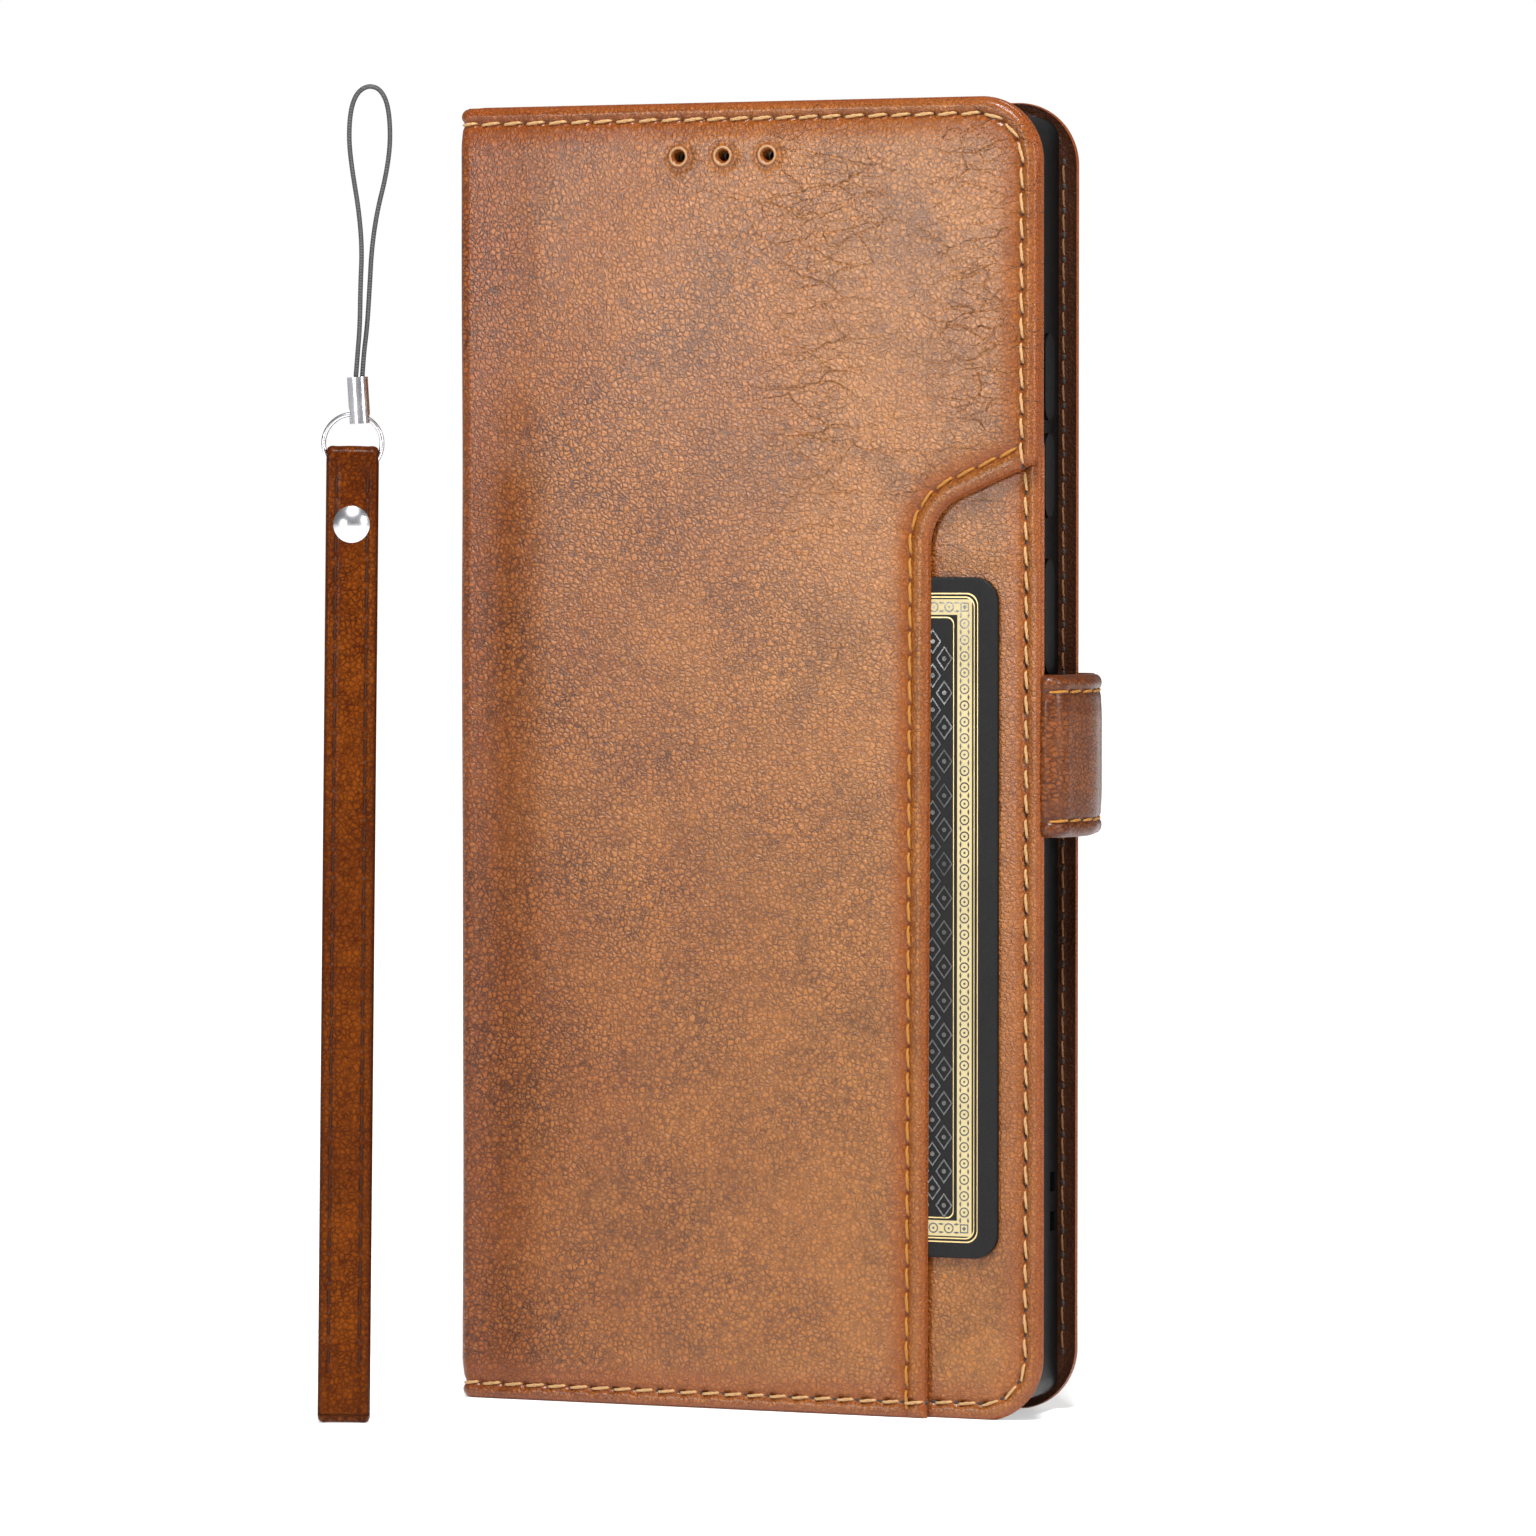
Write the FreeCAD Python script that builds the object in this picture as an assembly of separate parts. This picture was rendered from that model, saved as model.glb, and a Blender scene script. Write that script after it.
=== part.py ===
"""Phone wallet case that opens like a book, with a front card pocket, a clasp strap and a loose lanyard.

The closed case stands on its bottom edge. Millimetres; +Z up, the front cover faces -Y and the spine is at -X.
The origin is the middle of the back cover's bottom edge.
"""
import FreeCAD, Part
import math
import os
from FreeCAD import Matrix, Vector

os.makedirs("parts", exist_ok=True)

# ---- driving dimensions ----
HEIGHT = 166.0
WIDTH = 78.5
DEPTH = 17.0                     # closed, front face to back face, without the clasp
FREE_CORNER_R = 8.0              # cover corners on the opening side
SPINE_CORNER_R = 1.0

SKIN = 0.8                       # leather
BOARD = 0.5                      # stiffener card
LINING = 0.3
EDGE_FOLD = 1.5                  # width of the leather turned over the boards
LINING_INSET = 0.6
HINGE_GAP = 0.3
GLUE_GAP = 0.1                   # between a skin and the board behind it
DISH_FLOOR = 0.5                 # leather left under the card
MITRE_GAP = 0.05                 # between the skins at a crease
SPINE_BOARD_T = 0.6
SPINE_LINING_T = 0.35

CARD_W, CARD_H, CARD_T = 54.0, 85.6, 0.8   # ID-1 card
CARD_CORNER_R = 3.18
CARD_RIGHT = 33.8
CARD_BOTTOM = 20.4
CARD_CLEARANCE = 0.05

STEP_X_TOP, STEP_X_BOTTOM = 25.0, 24.5     # pocket mouth
STEP_Z_EDGE, STEP_Z_CORNER = 120.5, 114.3
STEP_R = 6.5
POCKET_TOP = 109.5
POCKET_LEFT = -22.5
POCKET_FLOOR = 16.0

EARPIECE_X = (-8.8, -2.75, 3.3)
EARPIECE_Z = 159.3
EARPIECE_R = 0.75

SLOT_TOPS = (120.0, 107.0, 94.0)
SLOT_BOTTOM = 10.0
SLOT_T = 0.35
SLOT_CORNER_R = 6.0
LEAF_T = 0.45
LEAF_X = (-33.0, 38.6)
LEAF_Z = (8.0, 158.0)

PHONE_W, PHONE_H = 71.5, 159.6   # phone the shell is moulded for
SHELL_WALL = 1.3
SHELL_BACK = 1.2
SHELL_DEPTH = 10.2
SHELL_CORNER_R = 2.6
LIP = 0.8
RIM_FILLET = 0.6
BUTTON_SEAT = 0.35               # wall left behind a button
CAMERA_W, CAMERA_H, CAMERA_R = 26.0, 40.0, 6.0
CAMERA_X, CAMERA_Z = 20.5, 138.5
PORT_W, PORT_D = 13.0, 5.0
PORT_INSET = 4.1                 # middle of the port, from the phone's back
SPEAKER_X, SPEAKER_HALF_D = (12.0, 26.0), 1.1      # from the port's middle
MIC_R, MIC_LOW_X, MIC_HIGH_X = 0.8, -12.0, 10.0
BUTTON_PROUD = 0.45
BUTTON_DEPTH = 3.6
BUTTON_INSET = 4.6               # middle of the buttons, from the shell's back
BUTTON_GAP = 0.15
BUTTONS = {"volume_up_button": (125.9, 136.6), "volume_down_button": (113.6, 124.0),
           "power_button": (93.8, 108.2)}
EYELET_ZS = (24.3, 29.3)
EYELET_H, EYELET_D, EYELET_INSET = 2.5, 1.8, 2.9

CLASP_H = 20.2
CLASP_Z = 83.6
CLASP_T = 1.8
CLASP_BEND_R = 1.9               # to the middle of the strap
CLASP_TAIL_END = 12.0
CLASP_GAP = 0.25                 # between the tail and the back cover
ROOT_TAB = 12.0                  # how far the strap is sewn into the cover
ROOT_MARGIN = 0.02
MAGNET_X, MAGNET_R, MAGNET_T = 23.0, 6.0, 0.8
CATCH_R, CATCH_T = 7.0, 0.4

LANYARD_X, LANYARD_Y = -42.2, -45.8
LANYARD_TURN = 21.0              # degrees about Z
LANYARD_LEAN = 0.64              # degrees, to the right at the top
STRAP_W = 6.5
STRAP_TOP = 122.4
STRAP_PLY = 0.8
STRAP_GAP = 0.8
RIVET_Z = 112.6
RIVET_R, RIVET_DOME = 2.3, 0.9
RIVET_POST_R, RIVET_HOLE_R, RIVET_BACK_T = 0.75, 0.8, 0.4
RING_R = 3.65                    # to the middle of the wire
RING_WIRE_R = 0.3
RING_Z = 122.7
CRIMP_R, CRIMP_BORE_R = 1.3, 0.8
CRIMP_LOW, CRIMP_HIGH = 125.2, 131.0
CRIMP_U = 0.9
CRIMP_TILT = -4.0                # degrees, to the left at the top
CRIMP_EYE_R = 0.65
CORD_D = 0.6
# Middle of the cord in the lanyard's own frame: across, front to back, up.
CORD_ROUTE = [(0.32, -0.36, 130.9), (0.50, -0.42, 133.6), (0.78, -0.46, 137.4), (0.80, -0.46, 142.4),
              (0.96, -0.42, 147.0), (0.50, -0.36, 151.8), (-0.32, -0.28, 156.4), (-0.80, -0.22, 160.0),
              (-0.78, -0.16, 163.0), (-0.40, -0.10, 165.3), (0.42, -0.04, 166.75), (1.70, 0.00, 167.35),
              (2.98, 0.05, 166.90), (3.84, 0.10, 165.4), (4.24, 0.16, 163.0), (4.30, 0.22, 159.8),
              (3.78, 0.28, 156.0), (2.72, 0.34, 151.6), (2.10, 0.40, 147.0), (1.90, 0.44, 142.4),
              (1.62, 0.46, 137.2), (1.22, 0.42, 133.8), (1.08, 0.36, 130.9)]

# ---- derived planes ----
LEFT, RIGHT = -WIDTH / 2, WIDTH / 2
BACK_Y = 1.0                     # outer face of the back cover
FRONT_Y = BACK_Y - DEPTH         # outer face of the front cover
BACK_T = 2.0
SEAT_Y = BACK_Y - BACK_T         # inner face of the back cover, which the shell is bonded to
SPINE_T = SKIN + GLUE_GAP + SPINE_BOARD_T + SPINE_LINING_T
INNER_LEFT = LEFT + SPINE_T + HINGE_GAP
SHELL_FRONT_Y = SEAT_Y - SHELL_DEPTH
UPPER_BACK_Y = FRONT_Y + SKIN
DISH_Y = UPPER_BACK_Y + CARD_T + 2 * CARD_CLEARANCE
BOARD_Y = DISH_Y + DISH_FLOOR
LINING_Y = BOARD_Y + BOARD
LEAF_Y = LINING_Y + LINING
SHELL_LEFT = INNER_LEFT
SHELL_RIGHT = SHELL_LEFT + PHONE_W + 2 * SHELL_WALL
SHELL_LOW = (HEIGHT - PHONE_H) / 2 - SHELL_WALL
SHELL_HIGH = HEIGHT - SHELL_LOW
SHELL_MID_X = (SHELL_LEFT + SHELL_RIGHT) / 2
BUTTON_Y = SEAT_Y - BUTTON_INSET
PORT_Y = SEAT_Y - SHELL_BACK - PORT_INSET
CLASP_LOW = CLASP_Z - CLASP_H / 2
CLASP_START = Vector(RIGHT + 0.05, BOARD_Y + (BOARD + LINING) / 2, 0)
TAIL_Y = BACK_Y + CLASP_GAP + CLASP_T / 2
SIDE_TOP_Y = TAIL_Y - CLASP_BEND_R


def rounded_wire(corners, y):
    """Closed wire in the plane at y through (x, z, radius) corners, rounded where the radius isn't 0."""
    points = [Vector(x, y, z) for x, z, _ in corners]
    ends = []
    for i, (_, _, radius) in enumerate(corners):
        here, before, after = points[i], points[i - 1], points[(i + 1) % len(points)]
        if radius == 0:
            ends.append((here, None, here))
            continue
        to_before, to_after = (before - here).normalize(), (after - here).normalize()
        half = to_before.getAngle(to_after) / 2
        tangent = radius / math.tan(half)
        centre = here + (to_before + to_after).normalize() * (radius / math.sin(half))
        middle = centre + (here - centre).normalize() * radius
        ends.append((here + to_before * tangent, middle, here + to_after * tangent))
    edges = []
    for i, (start, middle, end) in enumerate(ends):
        if middle is not None:
            edges.append(Part.Arc(start, middle, end).toShape())
        following = ends[(i + 1) % len(ends)][0]
        if (following - end).Length > 1e-6:
            edges.append(Part.makeLine(end, following))
    return Part.Wire(edges)


def plate(corners, y0, y1):
    """Flat sheet with the outline of the corners, from y0 to y1."""
    return Part.Face(rounded_wire(corners, y0)).extrude(Vector(0, y1 - y0, 0))


def rectangle(x0, x1, z0, z1, left_r=0.0, right_r=0.0):
    return [(x0, z0, left_r), (x1, z0, right_r), (x1, z1, right_r), (x0, z1, left_r)]


def box(x0, x1, y0, y1, z0, z1):
    return Part.makeBox(x1 - x0, y1 - y0, z1 - z0, Vector(x0, y0, z0))


def rod_y(x, z, radius, y0, y1):
    return Part.makeCylinder(radius, y1 - y0, Vector(x, y0, z), Vector(0, 1, 0))


def cover_outline(inset=0.0, left=LEFT):
    """Outline of a cover: square-ish at the spine and rounded at the opening side."""
    corner = FREE_CORNER_R - inset
    return rectangle(left + (0 if left != LEFT else inset), RIGHT - inset, inset, HEIGHT - inset,
                     SPINE_CORNER_R, corner)


def earpiece_holes():
    return Part.makeCompound([rod_y(x, EARPIECE_Z, EARPIECE_R, FRONT_Y - 1, SHELL_FRONT_Y)
                              for x in EARPIECE_X])


def camera_hole(grow=0.0):
    """Prism through the back cover and the shell's back wall where the phone's cameras look out."""
    half_w, half_h = CAMERA_W / 2 + grow, CAMERA_H / 2 + grow
    corners = rectangle(CAMERA_X - half_w, CAMERA_X + half_w, CAMERA_Z - half_h, CAMERA_Z + half_h,
                        CAMERA_R + grow, CAMERA_R + grow)
    return plate(corners, SHELL_FRONT_Y, BACK_Y + 1)


def prism(points, z0=0.0, z1=HEIGHT):
    """Prism along Z over a polygon of (x, y) points."""
    wire = Part.makePolygon([Vector(x, y, z0) for x, y in points + points[:1]])
    return Part.Face(wire).extrude(Vector(0, 0, z1 - z0))


# ---- front cover ----
def front_upper_leather():
    """Outer skin, cut back in a step at the opening side to make the mouth of the card pocket."""
    corners = [(LEFT, 0, SPINE_CORNER_R), (STEP_X_BOTTOM, 0, 0), (STEP_X_TOP, STEP_Z_CORNER, STEP_R),
               (RIGHT, STEP_Z_EDGE, 0), (RIGHT, HEIGHT, FREE_CORNER_R), (LEFT, HEIGHT, SPINE_CORNER_R)]
    skin = plate(corners, FRONT_Y, UPPER_BACK_Y)
    mitre = prism([(LEFT - 1, FRONT_Y - 1), (LEFT + 2, FRONT_Y + 2), (LEFT - 1, FRONT_Y + 2)])
    return skin.cut(mitre).cut(earpiece_holes())


def front_base_leather():
    """Lower skin that carries the card, dished under it, with its edge turned over the board."""
    skin = plate(cover_outline(left=INNER_LEFT), UPPER_BACK_Y, LINING_Y)
    pocket = box(POCKET_LEFT, STEP_X_BOTTOM + 1, UPPER_BACK_Y - 1, DISH_Y, POCKET_FLOOR, POCKET_TOP)
    ledge = box(STEP_X_BOTTOM, RIGHT + 1, UPPER_BACK_Y - 1, DISH_Y, -1, POCKET_TOP)
    bed = plate(rectangle(INNER_LEFT + EDGE_FOLD, RIGHT - EDGE_FOLD, EDGE_FOLD, HEIGHT - EDGE_FOLD,
                          0, FREE_CORNER_R - EDGE_FOLD), BOARD_Y, LINING_Y)
    return skin.cut(pocket).cut(ledge).cut(bed).cut(clasp_notch()).cut(earpiece_holes())


def clasp_notch():
    return box(RIGHT - ROOT_TAB, RIGHT + 1, BOARD_Y, LEAF_Y, CLASP_LOW, CLASP_LOW + CLASP_H)


def front_board():
    """Stiffener between the lower skin and the lining."""
    board = plate(rectangle(INNER_LEFT + EDGE_FOLD, RIGHT - EDGE_FOLD, EDGE_FOLD, HEIGHT - EDGE_FOLD,
                            0, FREE_CORNER_R - EDGE_FOLD), BOARD_Y, LINING_Y)
    return board.cut(clasp_notch()).cut(earpiece_holes())


def front_lining():
    lining = plate(rectangle(INNER_LEFT, RIGHT - LINING_INSET, LINING_INSET, HEIGHT - LINING_INSET,
                             0, FREE_CORNER_R - LINING_INSET), LINING_Y, LEAF_Y)
    return lining.cut(clasp_notch()).cut(earpiece_holes())


def clasp_root_tab():
    """End of the clasp strap, sewn into the front cover's opening edge."""
    return box(RIGHT - ROOT_TAB + ROOT_MARGIN, RIGHT, BOARD_Y + ROOT_MARGIN, LEAF_Y - ROOT_MARGIN,
               CLASP_LOW + ROOT_MARGIN, CLASP_LOW + CLASP_H - ROOT_MARGIN)


def money_pocket():
    """Full-height leaf inside the front cover."""
    leaf = plate(rectangle(*LEAF_X, *LEAF_Z, 0, SLOT_CORNER_R), LEAF_Y, LEAF_Y + LEAF_T)
    return leaf.cut(earpiece_holes())


def card_slot(index):
    """Leaf of one card slot; each lies on the one before it and is lower at the top."""
    y0 = LEAF_Y + LEAF_T + index * SLOT_T
    corners = [(LEAF_X[0] + 2, SLOT_BOTTOM, 0), (LEAF_X[1], SLOT_BOTTOM, SLOT_CORNER_R),
               (LEAF_X[1], SLOT_TOPS[index], 0), (LEAF_X[0] + 2, SLOT_TOPS[index], 0)]
    return plate(corners, y0, y0 + SLOT_T)


def payment_card():
    y0 = UPPER_BACK_Y + CARD_CLEARANCE
    corners = rectangle(CARD_RIGHT - CARD_W, CARD_RIGHT, CARD_BOTTOM, CARD_BOTTOM + CARD_H,
                        CARD_CORNER_R, CARD_CORNER_R)
    return plate(corners, y0, y0 + CARD_T)


# ---- spine ----
def spine_leather():
    """Outer skin of the spine, mitred at both creases."""
    skin = box(LEFT, LEFT + SKIN + GLUE_GAP, FRONT_Y, BACK_Y, 0, HEIGHT)
    front = prism([(LEFT - 1, FRONT_Y - 1 + MITRE_GAP), (LEFT + 2, FRONT_Y + 2 + MITRE_GAP),
                   (LEFT + 2, FRONT_Y - 1)], -1, HEIGHT + 1)
    back = prism([(LEFT - 1, BACK_Y + 1 - MITRE_GAP), (LEFT + 2, BACK_Y - 2 - MITRE_GAP),
                  (LEFT + 2, BACK_Y + 1)], -1, HEIGHT + 1)
    return skin.cut(front).cut(back)


def spine_board():
    x0 = LEFT + SKIN + GLUE_GAP
    inset = SKIN + LINING_INSET
    return box(x0, x0 + SPINE_BOARD_T, FRONT_Y + inset, BACK_Y - inset, EDGE_FOLD, HEIGHT - EDGE_FOLD)


def spine_lining():
    x0 = LEFT + SKIN + GLUE_GAP + SPINE_BOARD_T
    inset = SKIN + LINING_INSET
    return box(x0, x0 + SPINE_LINING_T, FRONT_Y + inset, BACK_Y - inset, LINING_INSET, HEIGHT - LINING_INSET)


# ---- back cover ----
def back_leather():
    """Outer skin of the back cover with its edge turned over the board and round the camera hole."""
    inner_y = SEAT_Y + LINING
    skin = plate(cover_outline(), inner_y, BACK_Y)
    mitre = prism([(LEFT - 1, BACK_Y + 1), (LEFT - 1, BACK_Y - 3), (LEFT + 3, BACK_Y - 3)], -1, HEIGHT + 1)
    clear_spine = box(LEFT - 1, INNER_LEFT, SEAT_Y - 1, BACK_Y - SKIN - GLUE_GAP, -1, HEIGHT + 1)
    return skin.cut(mitre).cut(clear_spine).cut(back_bed()).cut(camera_hole())


def back_bed():
    bed = plate(rectangle(INNER_LEFT + EDGE_FOLD, RIGHT - EDGE_FOLD, EDGE_FOLD, HEIGHT - EDGE_FOLD,
                          0, FREE_CORNER_R - EDGE_FOLD), SEAT_Y + LINING, BACK_Y - SKIN - GLUE_GAP)
    return bed.cut(camera_hole(EDGE_FOLD))


def catch_disc_space(depth):
    y1 = BACK_Y - SKIN - GLUE_GAP
    return rod_y(MAGNET_X, CLASP_Z, CATCH_R, y1 - depth, y1)


def back_board():
    return back_bed().cut(catch_disc_space(CATCH_T))


def catch_disc():
    """Steel disc under the back skin that the clasp magnet holds to."""
    return catch_disc_space(CATCH_T)


def back_lining():
    lining = plate(rectangle(INNER_LEFT, RIGHT - LINING_INSET, LINING_INSET, HEIGHT - LINING_INSET,
                             0, FREE_CORNER_R - LINING_INSET), SEAT_Y, SEAT_Y + LINING)
    return lining.cut(camera_hole())


# ---- phone shell ----
def button_opening(z0, z1, x_out):
    """Round-ended prism across the shell's side wall."""
    y0, y1 = BUTTON_Y - BUTTON_DEPTH / 2, BUTTON_Y + BUTTON_DEPTH / 2
    wall_in = SHELL_RIGHT - SHELL_WALL
    x_in = wall_in + BUTTON_SEAT
    flat = box(x_in, x_out, y0, y1, z0 + BUTTON_DEPTH / 2, z1 - BUTTON_DEPTH / 2)
    for z in (z0 + BUTTON_DEPTH / 2, z1 - BUTTON_DEPTH / 2):
        flat = flat.fuse(Part.makeCylinder(BUTTON_DEPTH / 2, x_out - x_in,
                                           Vector(x_in, BUTTON_Y, z), Vector(1, 0, 0)))
    return flat.removeSplitter()


def button_cut(z0, z1):
    """Opening for a button cap, a little larger than the cap all round."""
    wall_in = SHELL_RIGHT - SHELL_WALL
    radius = BUTTON_DEPTH / 2 + BUTTON_GAP
    low, high = z0 + BUTTON_DEPTH / 2, z1 - BUTTON_DEPTH / 2
    cut = box(wall_in - 0.5, SHELL_RIGHT + 1, BUTTON_Y - radius, BUTTON_Y + radius, low, high)
    for z in (low, high):
        cut = cut.fuse(Part.makeCylinder(radius, SHELL_WALL + 1.5, Vector(wall_in - 0.5, BUTTON_Y, z),
                                         Vector(1, 0, 0)))
    return cut


def phone_shell():
    """Moulded tray that grips the phone, with a lip round the screen."""
    outside = plate(rectangle(SHELL_LEFT, SHELL_RIGHT, SHELL_LOW, SHELL_HIGH, SHELL_CORNER_R, SHELL_CORNER_R),
                    SHELL_FRONT_Y, SEAT_Y)
    front_rim = [e for e in outside.Edges if abs(e.BoundBox.YMin - SHELL_FRONT_Y) < 1e-6
                 and abs(e.BoundBox.YMax - SHELL_FRONT_Y) < 1e-6]
    outside = outside.makeFillet(RIM_FILLET, front_rim)
    wall = SHELL_WALL
    cavity = plate(rectangle(SHELL_LEFT + wall, SHELL_RIGHT - wall, SHELL_LOW + wall, SHELL_HIGH - wall,
                             SHELL_CORNER_R - 1, SHELL_CORNER_R - 1),
                   SHELL_FRONT_Y + LIP, SEAT_Y - SHELL_BACK)
    grip = wall + LIP
    mouth = plate(rectangle(SHELL_LEFT + grip, SHELL_RIGHT - grip, SHELL_LOW + grip, SHELL_HIGH - grip,
                            SHELL_CORNER_R - 1, SHELL_CORNER_R - 1), SHELL_FRONT_Y - 1, SHELL_FRONT_Y + LIP)
    shell = outside.cut(cavity).cut(mouth).cut(camera_hole())
    for z0, z1 in BUTTONS.values():
        shell = shell.cut(button_cut(z0, z1))
    for z in EYELET_ZS:
        shell = shell.cut(box(SHELL_RIGHT - wall - 1, SHELL_RIGHT + 1, SEAT_Y - EYELET_INSET,
                              SEAT_Y - EYELET_INSET + EYELET_D, z - EYELET_H / 2, z + EYELET_H / 2))
    port = box(SHELL_MID_X - PORT_W / 2, SHELL_MID_X + PORT_W / 2, PORT_Y - PORT_D / 2, PORT_Y + PORT_D / 2,
               SHELL_LOW - 1, SHELL_LOW + wall + 1)
    speaker = box(SHELL_MID_X + SPEAKER_X[0], SHELL_MID_X + SPEAKER_X[1], PORT_Y - SPEAKER_HALF_D,
                  PORT_Y + SPEAKER_HALF_D, SHELL_LOW - 1, SHELL_LOW + wall + 1)
    shell = shell.cut(port).cut(speaker)
    for x, z in ((SHELL_MID_X + MIC_LOW_X, SHELL_LOW), (SHELL_MID_X + MIC_HIGH_X, SHELL_HIGH - wall)):
        shell = shell.cut(Part.makeCylinder(MIC_R, wall + 2, Vector(x, PORT_Y, z - 1), Vector(0, 0, 1)))
    return shell


def button_cap(z0, z1):
    return button_opening(z0, z1, SHELL_RIGHT + BUTTON_PROUD)


# ---- clasp strap ----
def bent_strip(centre, start_deg, end_deg, inner, outer, straights):
    """Face of a strip that turns about centre from start_deg to end_deg, with straight ends of given lengths."""
    def at(radius, degrees):
        a = math.radians(degrees)
        return Vector(centre.x + radius * math.cos(a), centre.y + radius * math.sin(a), 0)

    def along(degrees, length):
        a = math.radians(degrees + 90)
        return Vector(math.cos(a) * length, math.sin(a) * length, 0)

    middle = (start_deg + end_deg) / 2
    lead, tail = along(start_deg, -straights[0]), along(end_deg, straights[1])
    points = [at(outer, start_deg) + lead, at(outer, start_deg), at(outer, end_deg), at(outer, end_deg) + tail,
              at(inner, end_deg) + tail, at(inner, end_deg), at(inner, start_deg), at(inner, start_deg) + lead]
    edges = []
    for i, (a, b) in enumerate(zip(points, points[1:] + points[:1])):
        if (a - b).Length < 1e-6:
            continue
        if i in (1, 5):
            radius = outer if i == 1 else inner
            edges.append(Part.Arc(a, at(radius, middle), b).toShape())
        else:
            edges.append(Part.makeLine(a, b))
    return Part.Face(Part.Wire(edges))


def stand_up(face, z0, height):
    shape = face.extrude(Vector(0, 0, height))
    shape.translate(Vector(0, 0, z0))
    return shape


def clasp_side(inner, outer):
    """Stretch of the strap round the opening side, between two radii of its bends."""
    centre = Vector(CLASP_START.x, CLASP_START.y + CLASP_BEND_R, 0)
    straight = SIDE_TOP_Y - centre.y
    return stand_up(bent_strip(centre, -90, 0, inner, outer, (0, straight)), CLASP_LOW, CLASP_H)


def clasp_tail(inner, outer):
    """Round-ended stretch of the strap on the back of the case, with room for the magnet."""
    centre = Vector(CLASP_START.x, SIDE_TOP_Y, 0)
    reach = CLASP_START.x - CLASP_TAIL_END
    strip = stand_up(bent_strip(centre, 0, 90, inner, outer, (0, reach)), CLASP_LOW, CLASP_H)
    end_r = CLASP_H / 2 - 1
    outline = rectangle(CLASP_TAIL_END, RIGHT + 10, CLASP_LOW, CLASP_LOW + CLASP_H, end_r, 0)
    strip = strip.common(plate(outline, SIDE_TOP_Y - 5, TAIL_Y + 5))
    return strip.cut(rod_y(MAGNET_X, CLASP_Z, MAGNET_R, TAIL_Y - MAGNET_T / 2, TAIL_Y + MAGNET_T / 2))


def clasp_magnet():
    return rod_y(MAGNET_X, CLASP_Z, MAGNET_R, TAIL_Y - MAGNET_T / 2, TAIL_Y + MAGNET_T / 2)


# ---- lanyard, in its own frame: u across, v front to back, z up ----
def placed(shape):
    """The lanyard's shape, leaned, turned and set down beside the case."""
    lean = Matrix()
    lean.rotateY(math.radians(LANYARD_LEAN))
    turn = Matrix()
    turn.rotateZ(math.radians(LANYARD_TURN))
    move = Matrix()
    lift = STRAP_W / 2 * math.sin(math.radians(LANYARD_LEAN))
    move.move(Vector(LANYARD_X, LANYARD_Y, lift))
    result = shape.copy()
    result.transformShape(move * turn * lean)
    return result


def wrist_strap():
    """Leather strip folded into a flat loop: round the ring at the top and round itself at the bottom."""
    inner, outer = STRAP_GAP / 2, STRAP_GAP / 2 + STRAP_PLY
    low, high = outer, STRAP_TOP - outer

    def loop(radius):
        return Part.Wire([
            Part.makeLine(Vector(0, -radius, low), Vector(0, -radius, high)),
            Part.Arc(Vector(0, -radius, high), Vector(0, 0, high + radius), Vector(0, radius, high)).toShape(),
            Part.makeLine(Vector(0, radius, high), Vector(0, radius, low)),
            Part.Arc(Vector(0, radius, low), Vector(0, 0, low - radius), Vector(0, -radius, low)).toShape()])

    band = Part.Face(loop(outer)).cut(Part.Face(loop(inner))).extrude(Vector(STRAP_W, 0, 0))
    band.translate(Vector(-STRAP_W / 2, 0, 0))
    return placed(band.cut(rod_y(0, RIVET_Z, RIVET_HOLE_R, -outer - 1, outer + 1)))


def rivet():
    """Domed cap in front, flat cap behind and the post through both plies."""
    outer = STRAP_GAP / 2 + STRAP_PLY
    ball_r = (RIVET_R ** 2 + RIVET_DOME ** 2) / (2 * RIVET_DOME)
    ball = Part.makeSphere(ball_r, Vector(0, -outer - RIVET_DOME + ball_r, RIVET_Z))
    cap = ball.common(rod_y(0, RIVET_Z, RIVET_R, -outer - RIVET_DOME - 1, -outer))
    back = rod_y(0, RIVET_Z, RIVET_R * 0.9, outer, outer + RIVET_BACK_T)
    post = rod_y(0, RIVET_Z, RIVET_POST_R, -outer, outer)
    return placed(cap.fuse([back, post]))


def split_ring():
    return placed(Part.makeTorus(RING_R, RING_WIRE_R, Vector(0, 0, RING_Z), Vector(0, 1, 0)))


def crimp_eye():
    """Where the ring goes through the crimp tube: the middle of the hole and its direction."""
    slope = math.asin(CRIMP_U / RING_R)
    sag = CRIMP_R ** 2 / RING_R / 4
    along = Vector(math.cos(slope), 0, -math.sin(slope))
    return Vector(CRIMP_U, 0, RING_Z + RING_R * math.cos(slope) - sag), along


def crimp_tube():
    """Tube that joins the two ends of the cord, pierced across for the ring."""
    height = CRIMP_HIGH - CRIMP_LOW
    tube = Part.makeCylinder(CRIMP_R, height).cut(Part.makeCylinder(CRIMP_BORE_R, height))
    tube.rotate(Vector(0, 0, 0), Vector(0, 1, 0), CRIMP_TILT)
    tube.translate(Vector(CRIMP_U, 0, CRIMP_LOW))
    middle, along = crimp_eye()
    hole = Part.makeCylinder(CRIMP_EYE_R, 4 * CRIMP_R, middle - along * (2 * CRIMP_R), along)
    return placed(tube.cut(hole))


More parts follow.
